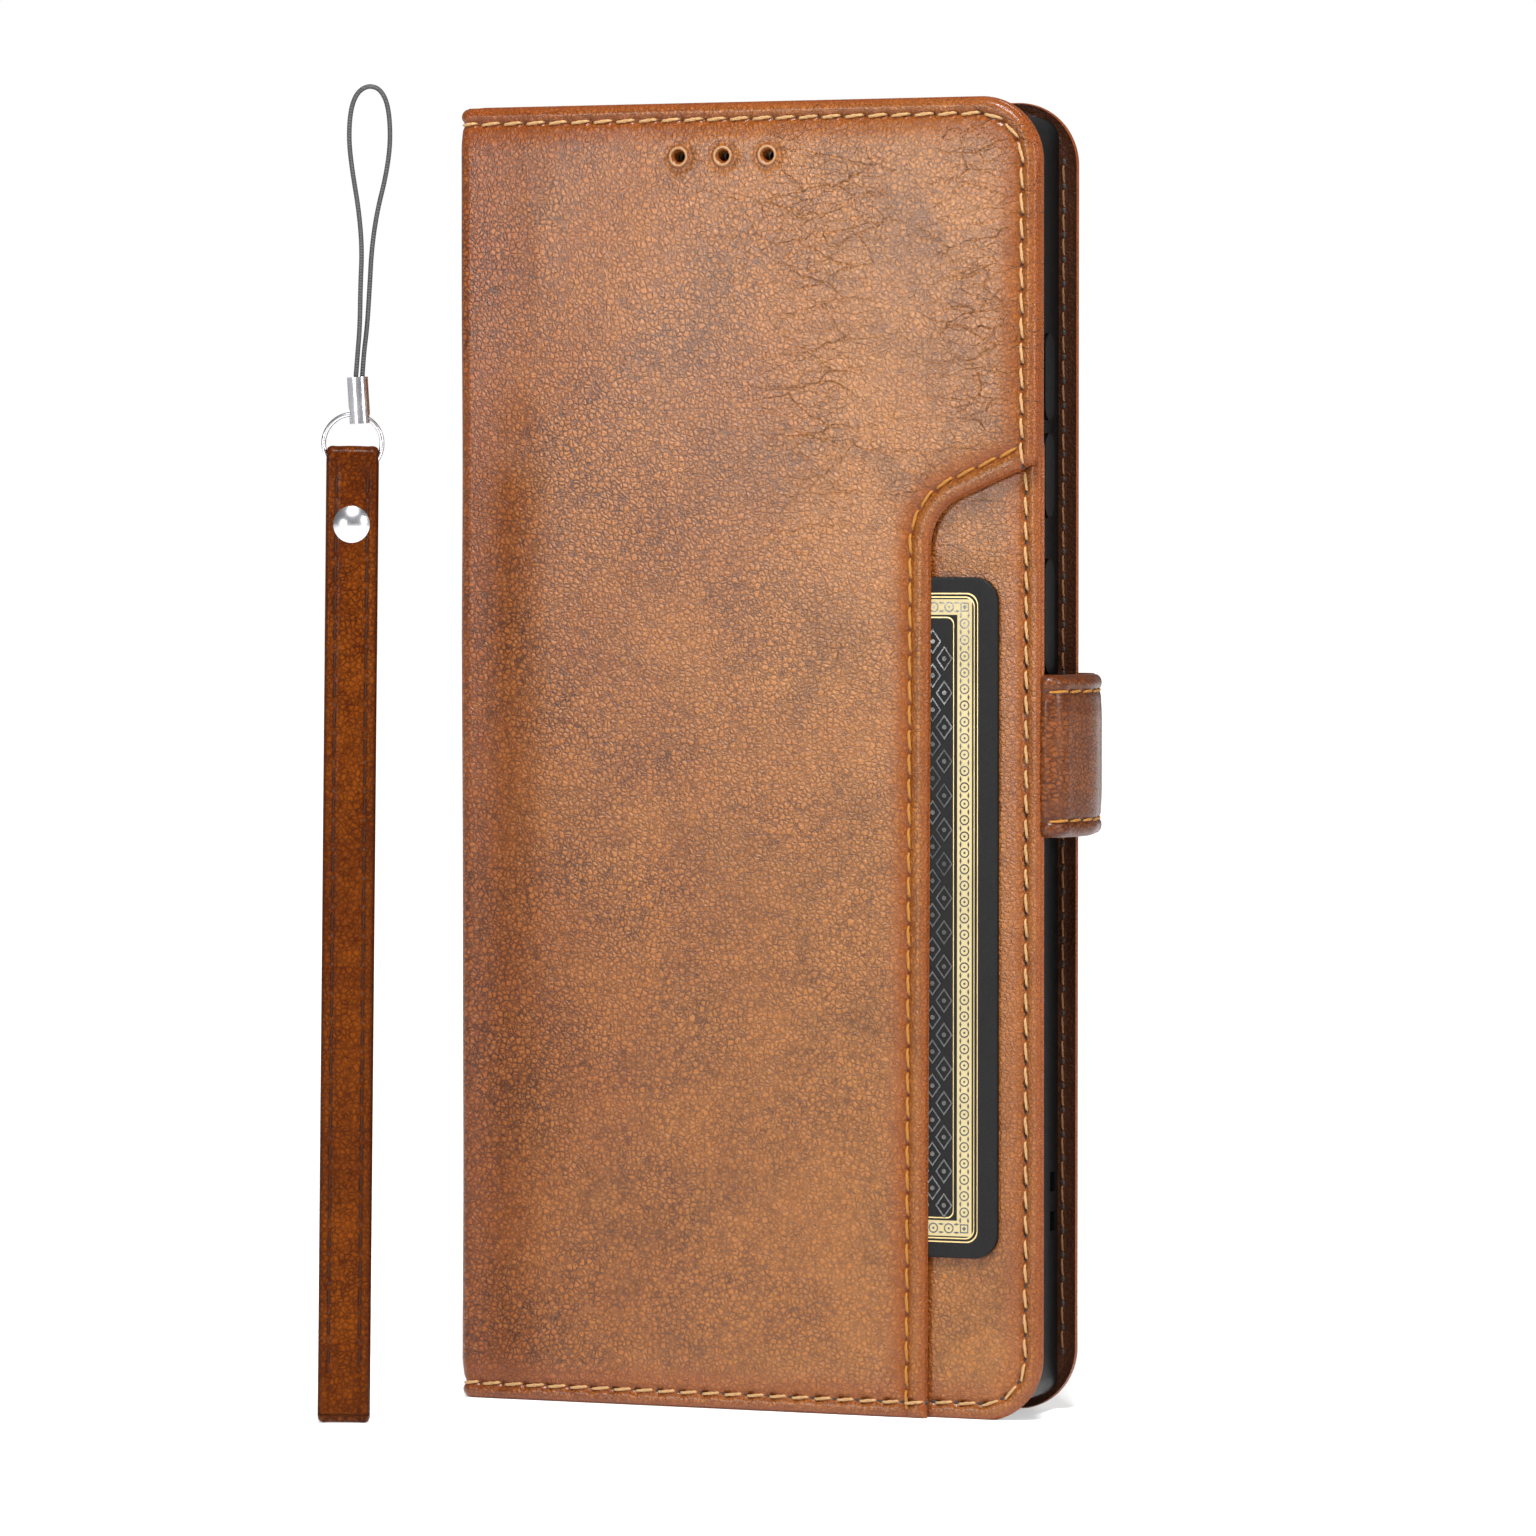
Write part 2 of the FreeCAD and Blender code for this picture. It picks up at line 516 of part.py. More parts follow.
def cord_path(route):
    """Straight runs joined by tangent arcs, each as large as its two runs allow; also its smallest radius."""
    points = [Vector(*p) for p in route]
    edges, start, radii = [], points[0], []
    for before, here, after in zip(points, points[1:], points[2:]):
        back, ahead = before - here, after - here
        shorter = min(back.Length, ahead.Length)
        back.normalize()
        ahead.normalize()
        half_turn = (math.pi - back.getAngle(ahead)) / 2
        cut = 0.45 * shorter
        radius = cut / math.tan(half_turn)
        radii.append(radius)
        into, out = here + back * cut, here + ahead * cut
        centre = here + (back + ahead).normalize() * (radius / math.cos(half_turn))
        middle = centre + (here - centre).normalize() * radius
        edges.append(Part.makeLine(start, into))
        edges.append(Part.Arc(into, middle, out).toShape())
        start = out
    edges.append(Part.makeLine(start, points[-1]))
    return Part.Wire(edges), radii


def lanyard_cord():
    path, radii = cord_path(CORD_ROUTE)
    first = Vector(*CORD_ROUTE[1]) - Vector(*CORD_ROUTE[0])
    section = Part.Wire([Part.makeCircle(CORD_D / 2, Vector(*CORD_ROUTE[0]), first)])
    tube = path.makePipeShell([section], True, False)
    expected = math.pi * (CORD_D / 2) ** 2 * path.Length
    print("cord: length %.1f, volume %.2f of %.2f, radii" % (path.Length, tube.Volume, expected),
          ["%.1f" % r for r in radii])
    return placed(tube)


def all_parts():
    half = CLASP_T / 2
    inner, middle, outer = CLASP_BEND_R - half, CLASP_BEND_R, CLASP_BEND_R + half
    parts = {
        "front_upper_leather": front_upper_leather(),
        "front_base_leather": front_base_leather(),
        "front_board": front_board(),
        "front_lining": front_lining(),
        "clasp_root_tab": clasp_root_tab(),
        "money_pocket": money_pocket(),
        "payment_card": payment_card(),
        "spine_leather": spine_leather(),
        "spine_board": spine_board(),
        "spine_lining": spine_lining(),
        "back_leather": back_leather(),
        "back_board": back_board(),
        "back_lining": back_lining(),
        "catch_disc": catch_disc(),
        "phone_shell": phone_shell(),
        "clasp_side_outer": clasp_side(middle, outer),
        "clasp_side_inner": clasp_side(inner, middle),
        "clasp_tail_outer": clasp_tail(middle, outer),
        "clasp_tail_inner": clasp_tail(inner, middle),
        "clasp_magnet": clasp_magnet(),
        "wrist_strap": wrist_strap(),
        "rivet": rivet(),
        "split_ring": split_ring(),
        "crimp_tube": crimp_tube(),
        "lanyard_cord": lanyard_cord(),
    }
    for index in range(len(SLOT_TOPS)):
        parts["card_slot_%d" % (index + 1)] = card_slot(index)
    for name, (z0, z1) in BUTTONS.items():
        parts[name] = button_cap(z0, z1)
    return parts


for name, shape in all_parts().items():
    if not shape.isValid():
        raise ValueError(name + " is not a valid shape")
    b = shape.BoundBox
    print("%-22s solids %d volume %9.2f  x %.2f..%.2f y %.2f..%.2f z %.2f..%.2f" % (
        name, len(shape.Solids), shape.Volume, b.XMin, b.XMax, b.YMin, b.YMax, b.ZMin, b.ZMax))
    shape.exportStep("parts/%s.step" % name)
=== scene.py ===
"""Looks of the phone wallet case: skins, linings, leaves, threads, card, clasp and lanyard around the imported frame.

Shapes are worked out in millimetres. A panel is drawn flat, across (s) and up (z), and a place function bends it
into the row frame; out is the height above the panel's own face.
"""

import cmath
import math

import bpy
import numpy as np
from mathutils import Matrix, Vector
from mathutils.geometry import delaunay_2d_cdt


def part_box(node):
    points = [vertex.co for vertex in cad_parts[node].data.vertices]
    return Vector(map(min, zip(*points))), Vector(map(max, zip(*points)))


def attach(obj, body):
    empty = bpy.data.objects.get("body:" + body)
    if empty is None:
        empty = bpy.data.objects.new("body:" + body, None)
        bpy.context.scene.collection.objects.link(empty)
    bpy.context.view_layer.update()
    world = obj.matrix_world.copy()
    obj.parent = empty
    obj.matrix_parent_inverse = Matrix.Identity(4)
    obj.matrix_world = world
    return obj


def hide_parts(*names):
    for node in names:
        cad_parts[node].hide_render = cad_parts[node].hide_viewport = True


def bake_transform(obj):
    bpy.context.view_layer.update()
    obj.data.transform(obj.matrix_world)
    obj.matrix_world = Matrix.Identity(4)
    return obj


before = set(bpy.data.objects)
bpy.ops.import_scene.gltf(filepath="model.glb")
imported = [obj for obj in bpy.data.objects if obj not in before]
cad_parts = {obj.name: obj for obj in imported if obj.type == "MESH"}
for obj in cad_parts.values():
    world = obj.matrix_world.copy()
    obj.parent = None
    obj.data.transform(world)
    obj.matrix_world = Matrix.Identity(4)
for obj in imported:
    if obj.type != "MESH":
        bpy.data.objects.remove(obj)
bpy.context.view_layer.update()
MM = 0.001


def mm_box(node):
    low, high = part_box(node)
    return [c / MM for c in low], [c / MM for c in high]


# ---- places read from the frame ----
(LEFT, FRONT, _), (RIGHT, _, HEIGHT) = mm_box("front_upper_leather")
UPPER_BACK = mm_box("front_upper_leather")[1][1]
BACK = mm_box("back_leather")[1][1]
(BASE_LEFT, _, _), (_, BASE_BACK, _) = mm_box("front_base_leather")
BOARD_FRONT = mm_box("front_board")[0][1]
CARD_LOW, CARD_HIGH = mm_box("payment_card")
SIDE_LOW, SIDE_HIGH = mm_box("clasp_side_outer")
TAIL_LOW, _ = mm_box("clasp_tail_outer")
SPINE_LINING_LOW, SPINE_LINING_HIGH = mm_box("spine_lining")

# ---- shape of the leather work ----
SKIN = 0.8
FREE_R = 8.0
CREASE_R = 1.5
SPINE_MID = (FRONT + BACK) / 2
STEP = [(24.5, 0, 0), (25.0, 114.3, 6.5), (RIGHT, 120.5, 0)]
LEDGE_DROP = 0.93                # how far the skin under the card lies behind the pocket's front leaf
SEAM = 2.0                       # stitch line from a cover's edge
SUNK_SEAM = 0.28                 # how much deeper that line lies where the card slides over it
STEP_SEAM = 2.5                  # stitch line from the pocket mouth
PITCH = 3.1
HOLES = [(-8.8, 159.3), (-2.75, 159.3), (3.3, 159.3)]
HOLE_R = 0.75
CARD_R = 3.18                    # corner of a standard bank card
CAMERA_WINDOW = (7.5, 33.5, 118.5, 158.5, 6.0)
RINGS = (0.08, 0.22, 0.42, 0.7, 1.05, 1.4, 1.68, 1.86, 2.0, 2.14, 2.32, 2.5, 2.68, 2.95, 3.4, 4.1, 5.0)
FINE = PITCH / 6


def smooth(a, b, x):
    t = np.clip((x - a) / (b - a), 0, 1)
    return t * t * (3 - 2 * t)


def bell(x, width):
    return np.exp(-((x / width) ** 2))


def rectangle(x0, x1, z0, z1, left_r=0.0, right_r=0.0):
    """Corners (x, z, radius), anticlockwise from the lower left."""
    return [(x0, z0, left_r), (x1, z0, right_r), (x1, z1, right_r), (x0, z1, left_r)]


def outline(corners, spacing, inset=0.0, closed=True, arc_spacing=None):
    """Points along the lines through (x, z, radius) corners, moved to the left of travel by inset."""
    spots = [complex(x, z) for x, z, _ in corners]
    ways = [(b - a) / abs(b - a) for a, b in zip(spots, spots[1:] + spots[:1])]
    last = len(spots) - 1
    arcs = []
    for i, (_, _, radius) in enumerate(corners):
        before, after = ways[i - 1], ways[i]
        if not closed and i == 0:
            before = after
        if not closed and i == last:
            after = before
        turn = cmath.phase(after / before)
        corner = spots[i] + 1j * inset * (before + after) / (1 + (before * after.conjugate()).real)
        r = max(radius - math.copysign(inset, turn), 0) if radius else 0
        if r < 1e-3 or abs(turn) < 1e-3:
            arcs.append([corner])
            continue
        start = corner - before * r * math.tan(abs(turn) / 2)
        centre = start + 1j * before * math.copysign(r, turn)
        steps = max(2, math.ceil(abs(turn) * r / (arc_spacing or spacing)))
        arcs.append([centre + (start - centre) * cmath.exp(1j * turn * k / steps) for k in range(steps + 1)])
    line = []
    for i, arc in enumerate(arcs):
        line += arc
        if closed or i < last:
            a, b = arc[-1], arcs[(i + 1) % len(arcs)][0]
            steps = max(1, round(abs(b - a) / spacing))
            line += [a + (b - a) * k / steps for k in range(1, steps)]
    kept = [p for p, q in zip(line, line[-1:] + line[:-1]) if not closed or abs(p - q) > 1e-4]
    return np.array([(p.real, p.imag) for p in kept])


def distance(points, line):
    """Distance from each point to an open line of points."""
    best = np.full(len(points), 1e9)
    for a, b in zip(line[:-1], line[1:]):
        d = b - a
        t = np.clip(((points - a) @ d) / max(d @ d, 1e-12), 0, 1)
        away = points - a - t[:, None] * d
        best = np.minimum(best, np.hypot(away[:, 0], away[:, 1]))
    return best


def inside(points, polygon):
    x, z = points[:, 0], points[:, 1]
    result = np.zeros(len(points), bool)
    for (x0, z0), (x1, z1) in zip(polygon, np.roll(polygon, -1, 0)):
        if z0 != z1:
            result ^= ((z0 > z) != (z1 > z)) & (x < x0 + (z - z0) * (x1 - x0) / (z1 - z0))
    return result


def nearest(points, spots, limit=3.0):
    """Distance from each point to the nearest of some spots."""
    best = np.full(len(points), limit)
    for start in range(0, len(points), 4000):
        part = points[start:start + 4000]
        apart = np.hypot(part[:, None, 0] - spots[None, :, 0], part[:, None, 1] - spots[None, :, 1])
        best[start:start + 4000] = np.minimum(limit, apart.min(1))
    return best


def along(line, distances):
    """Points and directions at these distances along a line."""
    steps = np.hypot(*np.diff(line, axis=0).T)
    run = np.concatenate([[0], np.cumsum(steps)])
    at = [np.stack([np.interp(d, run, line[:, 0]), np.interp(d, run, line[:, 1])], -1)
          for d in (distances, distances - 0.05, distances + 0.05)]
    way = at[2] - at[1]
    return at[0], way / np.hypot(way[:, 0], way[:, 1])[:, None]


def guide_line(corners, inset=0.0, closed=False):
    """Sparse outline to measure distances from: points only at the corners and round the arcs."""
    return outline(corners, 200, inset, closed, 0.4)


def level(height):
    """A flat side of a panel."""
    return lambda p: np.full(len(p), height)


def looped(line):
    return np.vstack([line, line[:1]])


def rounded(d, radius):
    """Height lost to a turned edge at distance d from it: 1 at the edge, 0 from radius inwards."""
    return 1 - np.sqrt(np.clip(1 - (1 - np.clip(d / radius, 0, 1)) ** 2, 0, 1))


def length_of(line):
    return float(np.hypot(*np.diff(line, axis=0).T).sum())


def hole_spots(line, pitch=PITCH):
    count = max(1, round(length_of(line) / pitch))
    return along(line, np.linspace(0, length_of(line), count + 1))[0]


def tube_faces(start, rows, sides, wrap=False):
    """Quads between rings of equally many points; with wrap the last ring joins the first."""
    faces = []
    for k in range(rows if wrap else rows - 1):
        k2 = (k + 1) % rows
        for m in range(sides):
            m2 = (m + 1) % sides
            faces.append([start + k * sides + m, start + k * sides + m2, start + k2 * sides + m2,
                          start + k2 * sides + m])
    return faces


def make_mesh(name, verts, faces, tex, edge, slots, materials, sharp=50):
    mesh = bpy.data.meshes.new(name)
    mesh.from_pydata((np.asarray(verts) * MM).tolist(), [], faces)
    attribute = mesh.attributes.new("tex", "FLOAT_VECTOR", "POINT")
    attribute.data.foreach_set("vector", np.asarray(tex, np.float32).ravel())
    attribute = mesh.attributes.new("edge", "FLOAT", "POINT")
    attribute.data.foreach_set("value", np.asarray(edge, np.float32).ravel())
    mesh.polygons.foreach_set("material_index", np.asarray(slots, np.int32))
    for material in materials:
        mesh.materials.append(material)
    mesh.update()
    mesh.shade_smooth()
    mesh.set_sharp_from_angle(angle=math.radians(sharp))
    piece = bpy.data.objects.new(name, mesh)
    bpy.context.scene.collection.objects.link(piece)
    return piece


def panel(name, corners, rise, place, back, materials, holes=(), rings=RINGS, fine=FINE, coarse=1.5,
          keep_wall=None, bulge=0.08, wall_rows=3, edge=None, extra=None, bend=None):
    """Sheet with a face, a back and side walls; rise and back give the heights of its two sides."""
    border = outline(corners, fine)
    loops = [border] + [outline(h, fine * 0.6) for h in holes]
    guide = looped(outline(corners, 200, arc_spacing=fine))
    points = []
    for inset in rings:
        ring = outline(corners, fine, inset)
        near = distance(ring, guide)
        points.append(ring[inside(ring, border) & (near > 0.85 * inset)])
    low, high = border.min(0), border.max(0)
    row = coarse * math.sqrt(3) / 2
    grid = np.array([(x + (j % 2) * coarse / 2, z)
                     for j, z in enumerate(np.arange(low[1], high[1], row))
                     for x in np.arange(low[0], high[0], coarse)])
    grid = grid[inside(grid, border)]
    if bend:
        grid = grid[(grid[:, 0] < bend[0]) | (grid[:, 0] > bend[1])]
        columns = np.arange(bend[0], bend[1], 0.22)
        extra = np.array([(x, z) for x in columns for z in np.arange(low[1] + 0.5, high[1] - 0.4, 1.0)])
    points.append(grid[distance(grid, guide) > (rings[-1] if len(rings) else 0) + 0.45 * coarse])
    if extra is not None:
        points.append(extra[inside(extra, border) & (distance(extra, guide) > 0.1)])
    points = np.vstack(points)
    for hole in holes:
        loop = outline(hole, fine * 0.6)
        points = points[~inside(points, loop) & (distance(points, looped(loop)) > 1.6)]
        points = np.vstack([points] + [outline(hole, fine * 0.8, -gap) for gap in (0.12, 0.3, 0.5, 0.75, 1.05, 1.4)])
    flat = [Vector(p) for p in np.vstack(loops + [points])]
    edges, start = [], 0
    for loop in loops:
        edges += [(start + i, start + (i + 1) % len(loop)) for i in range(len(loop))]
        start += len(loop)
    found = delaunay_2d_cdt(flat, edges, [], 0, 1e-5, False)
    p = np.array([v[:] for v in found[0]])
    tris = np.array([t for t in found[2] if len(t) == 3])
    middle = p[tris].mean(1)
    keep = inside(middle, border)
    for loop in loops[1:]:
        keep &= ~inside(middle, loop)
    tris = tris[keep]
    a, b, c = p[tris[:, 0]], p[tris[:, 1]], p[tris[:, 2]]
    area = (b - a)[:, 0] * (c - a)[:, 1] - (b - a)[:, 1] * (c - a)[:, 0]
    tris = tris[np.abs(area) > 1e-7]
    used = np.unique(tris)
    index = np.full(len(p), -1)
    index[used] = np.arange(len(used))
    p, tris = p[used], index[tris]
    count = len(p)
    front, behind = rise(p), back(p)
    verts = [place(p[:, 0], p[:, 1], front), place(p[:, 0], p[:, 1], behind)]
    shade = edge(p) if edge else np.zeros(count)
    tex = [np.column_stack([p, front]), np.column_stack([p, behind])]
    shades = [shade, shade]
    faces = tris.tolist() + (tris[:, ::-1] + count).tolist()
    slots = [0] * len(tris) + [len(materials) - 1] * len(tris)
    pairs = {}
    for t in tris:
        for i in range(3):
            pairs[(t[i], t[(i + 1) % 3])] = True
    rim = [(i, j) for i, j in pairs if (j, i) not in pairs]
    if keep_wall:
        rim = [(i, j) for i, j in rim if keep_wall((p[i] + p[j]) / 2)]
    outward = np.zeros((count, 2))
    for i, j in rim:
        way = p[j] - p[i]
        side = np.array([way[1], -way[0]]) / (np.hypot(*way) + 1e-9)
        outward[i] += side
        outward[j] += side
    outward /= np.maximum(np.hypot(outward[:, 0], outward[:, 1]), 1e-9)[:, None]
    on_rim = sorted({i for pair in rim for i in pair})
    columns = {i: [i] for i in on_rim}
    total = 2 * count
    for k in range(1, wall_rows):
        t = k / wall_rows
        q = p[on_rim] + outward[on_rim] * bulge * math.sin(math.pi * t)
        out = front[on_rim] * (1 - t) + behind[on_rim] * t
        verts.append(place(q[:, 0], q[:, 1], out))
        tex.append(np.column_stack([q, out]))
        shades.append(shade[on_rim])
        for n, i in enumerate(on_rim):
            columns[i].append(total + n)
        total += len(on_rim)
    for i in on_rim:
        columns[i].append(count + i)
    for i, j in rim:
        for k in range(wall_rows):
            faces.append([columns[j][k], columns[i][k], columns[i][k + 1], columns[j][k + 1]])
            slots.append(0)
    return make_mesh(name, np.vstack(verts), faces, np.vstack(tex), np.concatenate(shades), slots, materials)


def sew(name, runs, materials, pitch=PITCH, length=2.5, radius=0.2, slant=7.0, lift=0.1):
    """Thread stitches along runs of (line, rise, place), each diving at both ends into a needle hole drawn as a small
    dark disc, which is painted shade of the hole.
    """
    verts, faces, tex, slots = [], [], [], []
    samples, sides = 11, 10
    u = np.linspace(-1, 1, samples)
    turn = cmath.exp(1j * math.radians(slant))
    total = 0
    for line, rise, place in runs:
        run = length_of(line)
        count = max(1, round(run / pitch))
        step = run / count
        centres, ways = along(line, (np.arange(count) + 0.5) * step)
        ways = np.stack([ways[:, 0] * turn.real - ways[:, 1] * turn.imag,
                         ways[:, 0] * turn.imag + ways[:, 1] * turn.real], -1)
        flat = centres[:, None, :] + ways[:, None, :] * (u * min(length, step * 0.86) / 2)[None, :, None]
        q = flat.reshape(-1, 2)
        base = rise(q).reshape(count, samples).max(1)[:, None]
        out = base + lift - 0.42 * smooth(0.62, 1.0, np.abs(u))[None, :]
        out = out.reshape(-1)
        spine = place(q[:, 0], q[:, 1], out).reshape(count, samples, 3)
        up = (place(q[:, 0], q[:, 1], out + 0.1).reshape(count, samples, 3) - spine) / 0.1
        tangent = np.gradient(spine, axis=1)
        tangent /= np.linalg.norm(tangent, axis=2)[:, :, None]
        side = np.cross(tangent, up)
        side /= np.linalg.norm(side, axis=2)[:, :, None]
        up = np.cross(side, tangent)
        around = np.arange(sides) * 2 * math.pi / sides
        thick = radius * (1 - 0.35 * np.abs(u) ** 5)
        for n in range(count):
            ply = 1 + 0.16 * np.cos(2 * (around[None, :] + 3.4 * u[:, None]))
            ring = (side[n][:, None, :] * np.cos(around)[None, :, None]
                    + up[n][:, None, :] * np.sin(around)[None, :, None]) * (thick[:, None] * ply)[:, :, None]
            verts.append((spine[n][:, None, :] + ring).reshape(-1, 3))
            tex.append(np.column_stack([np.repeat(u * 4, sides), np.tile(around, samples),
                                        np.full(samples * sides, n * 0.37)]))
            faces += tube_faces(total, samples, sides)
            faces.append([total + m for m in range(sides)][::-1])
            faces.append([total + (samples - 1) * sides + m for m in range(sides)])
            slots += [0] * ((samples - 1) * sides + 2)
            total += samples * sides
        # needle holes: small dark discs in the second material, painted shade where the thread goes into the leather
        spots, ways = along(line, np.arange(count + 1) * step)
        for spot, way in zip(spots, ways):
            across = np.array([-way[1], way[0]])
            ring_points, outs = [], []
            for size, height in ((1.0, -0.06), (0.8, 0.02), (0.4, 0.05)):
                for m in range(10):
                    angle = m * math.pi / 5
                    ring_points.append(spot + size * (0.42 * math.cos(angle) * way
                                                      + 0.27 * math.sin(angle) * across))
                    outs.append(height)
            ring_points = np.array(ring_points)
            low = rise(np.array([spot]))[0]
            verts.append(place(ring_points[:, 0], ring_points[:, 1], low + np.array(outs)))
            tex.append(np.zeros((30, 3)))
            faces += tube_faces(total, 3, 10)
            faces.append([total + 20 + m for m in range(10)])
            faces.append([total + m for m in range(10)][::-1])
            slots += [1] * 22
            total += 30
    return make_mesh(name, np.vstack(verts), faces, np.vstack(tex), np.zeros(total), slots, materials, 70)


# ---- materials ----
class Look:
    """A material built node by node; an input is a number, a colour or another node's output."""

    def __init__(self, name):
        self.material = bpy.data.materials.new(name)
        self.material.use_nodes = True
        self.tree = self.material.node_tree
        self.tree.nodes.clear()
        self.shader = self.tree.nodes.new("ShaderNodeBsdfPrincipled")
        end = self.tree.nodes.new("ShaderNodeOutputMaterial")
        self.tree.links.new(self.shader.outputs[0], end.inputs["Surface"])

    def feed(self, node, inputs):
        for key, value in inputs.items():
            if isinstance(value, bpy.types.NodeSocket):
                self.tree.links.new(value, node.inputs[key])
            else:
                node.inputs[key].default_value = value

    def add(self, kind, inputs, output=0, **settings):
        node = self.tree.nodes.new("ShaderNode" + kind)
        for key, value in settings.items():
            setattr(node, key, value)
        self.feed(node, inputs)
        return node.outputs[output]

    def finish(self, **inputs):
        self.feed(self.shader, {k.replace("_", " "): v for k, v in inputs.items()})
        return self.material

    def attribute(self, name, output="Vector"):
        return self.add("Attribute", {}, output, attribute_name=name)

    def math(self, operation, a, b=0.0):
        return self.add("Math", {0: a, 1: b}, operation=operation)

    def times(self, a, b):
        return self.math("MULTIPLY", a, b)

    def mix(self, factor, a, b):
        return self.add("Mix", {0: factor, 6: a, 7: b}, 2, data_type="RGBA")

    def spread(self, value, low, high, to_low=0.0, to_high=1.0):
        return self.add("MapRange", {"Value": value, "From Min": low, "From Max": high,
                                     "To Min": to_low, "To Max": to_high})

    def noise(self, vector, scale, detail=3.0, roughness=0.5, distortion=0.0, output=0):
        return self.add("TexNoise", {"Vector": vector, "Scale": scale, "Detail": detail,
                                     "Roughness": roughness, "Distortion": distortion}, output)

    def cells(self, vector, scale):
        """Distance to the nearest cell wall."""
        return self.add("TexVoronoi", {"Vector": vector, "Scale": scale}, feature="DISTANCE_TO_EDGE")

    def moved(self, vector, scale=(1, 1, 1), rotation=(0, 0, 0), location=(0, 0, 0)):
        return self.add("Mapping", {"Vector": vector, "Scale": scale, "Rotation": rotation,
                                    "Location": location})

    def warped(self, vector, scale, amount):
        shift = self.noise(vector, scale, 2.0, output=1)
        shift = self.add("VectorMath", {0: shift, 1: (0.5, 0.5, 0.5)}, operation="SUBTRACT")
        shift = self.add("VectorMath", {0: shift, "Scale": amount}, operation="SCALE")
        return self.add("VectorMath", {0: vector, 1: shift}, operation="ADD")

    def bump(self, height, depth, normal=None):
        inputs = {"Height": height, "Distance": depth * MM, "Strength": 1.0}
        if normal is not None:
            inputs["Normal"] = normal
        return self.add("Bump", inputs)

    def object_mm(self):
        place = self.add("TexCoord", {}, "Object")
        return self.add("VectorMath", {0: place, "Scale": 1 / MM}, operation="SCALE")


def rgb(r, g, b):
    """Linear colour from a display colour of 0 to 255."""
    return tuple(((c / 255 + 0.055) / 1.055) ** 2.4 if c > 10 else c / 255 / 12.92 for c in (r, g, b)) + (1.0,)


PIGMENT = 0.53                   # pigment for a display colour, because the lights add up to about twice white


def seen(r, g, b):
    """Pigment that looks like this display colour under the studio's light."""
    return tuple(c * PIGMENT for c in rgb(r, g, b)[:3]) + (1.0,)


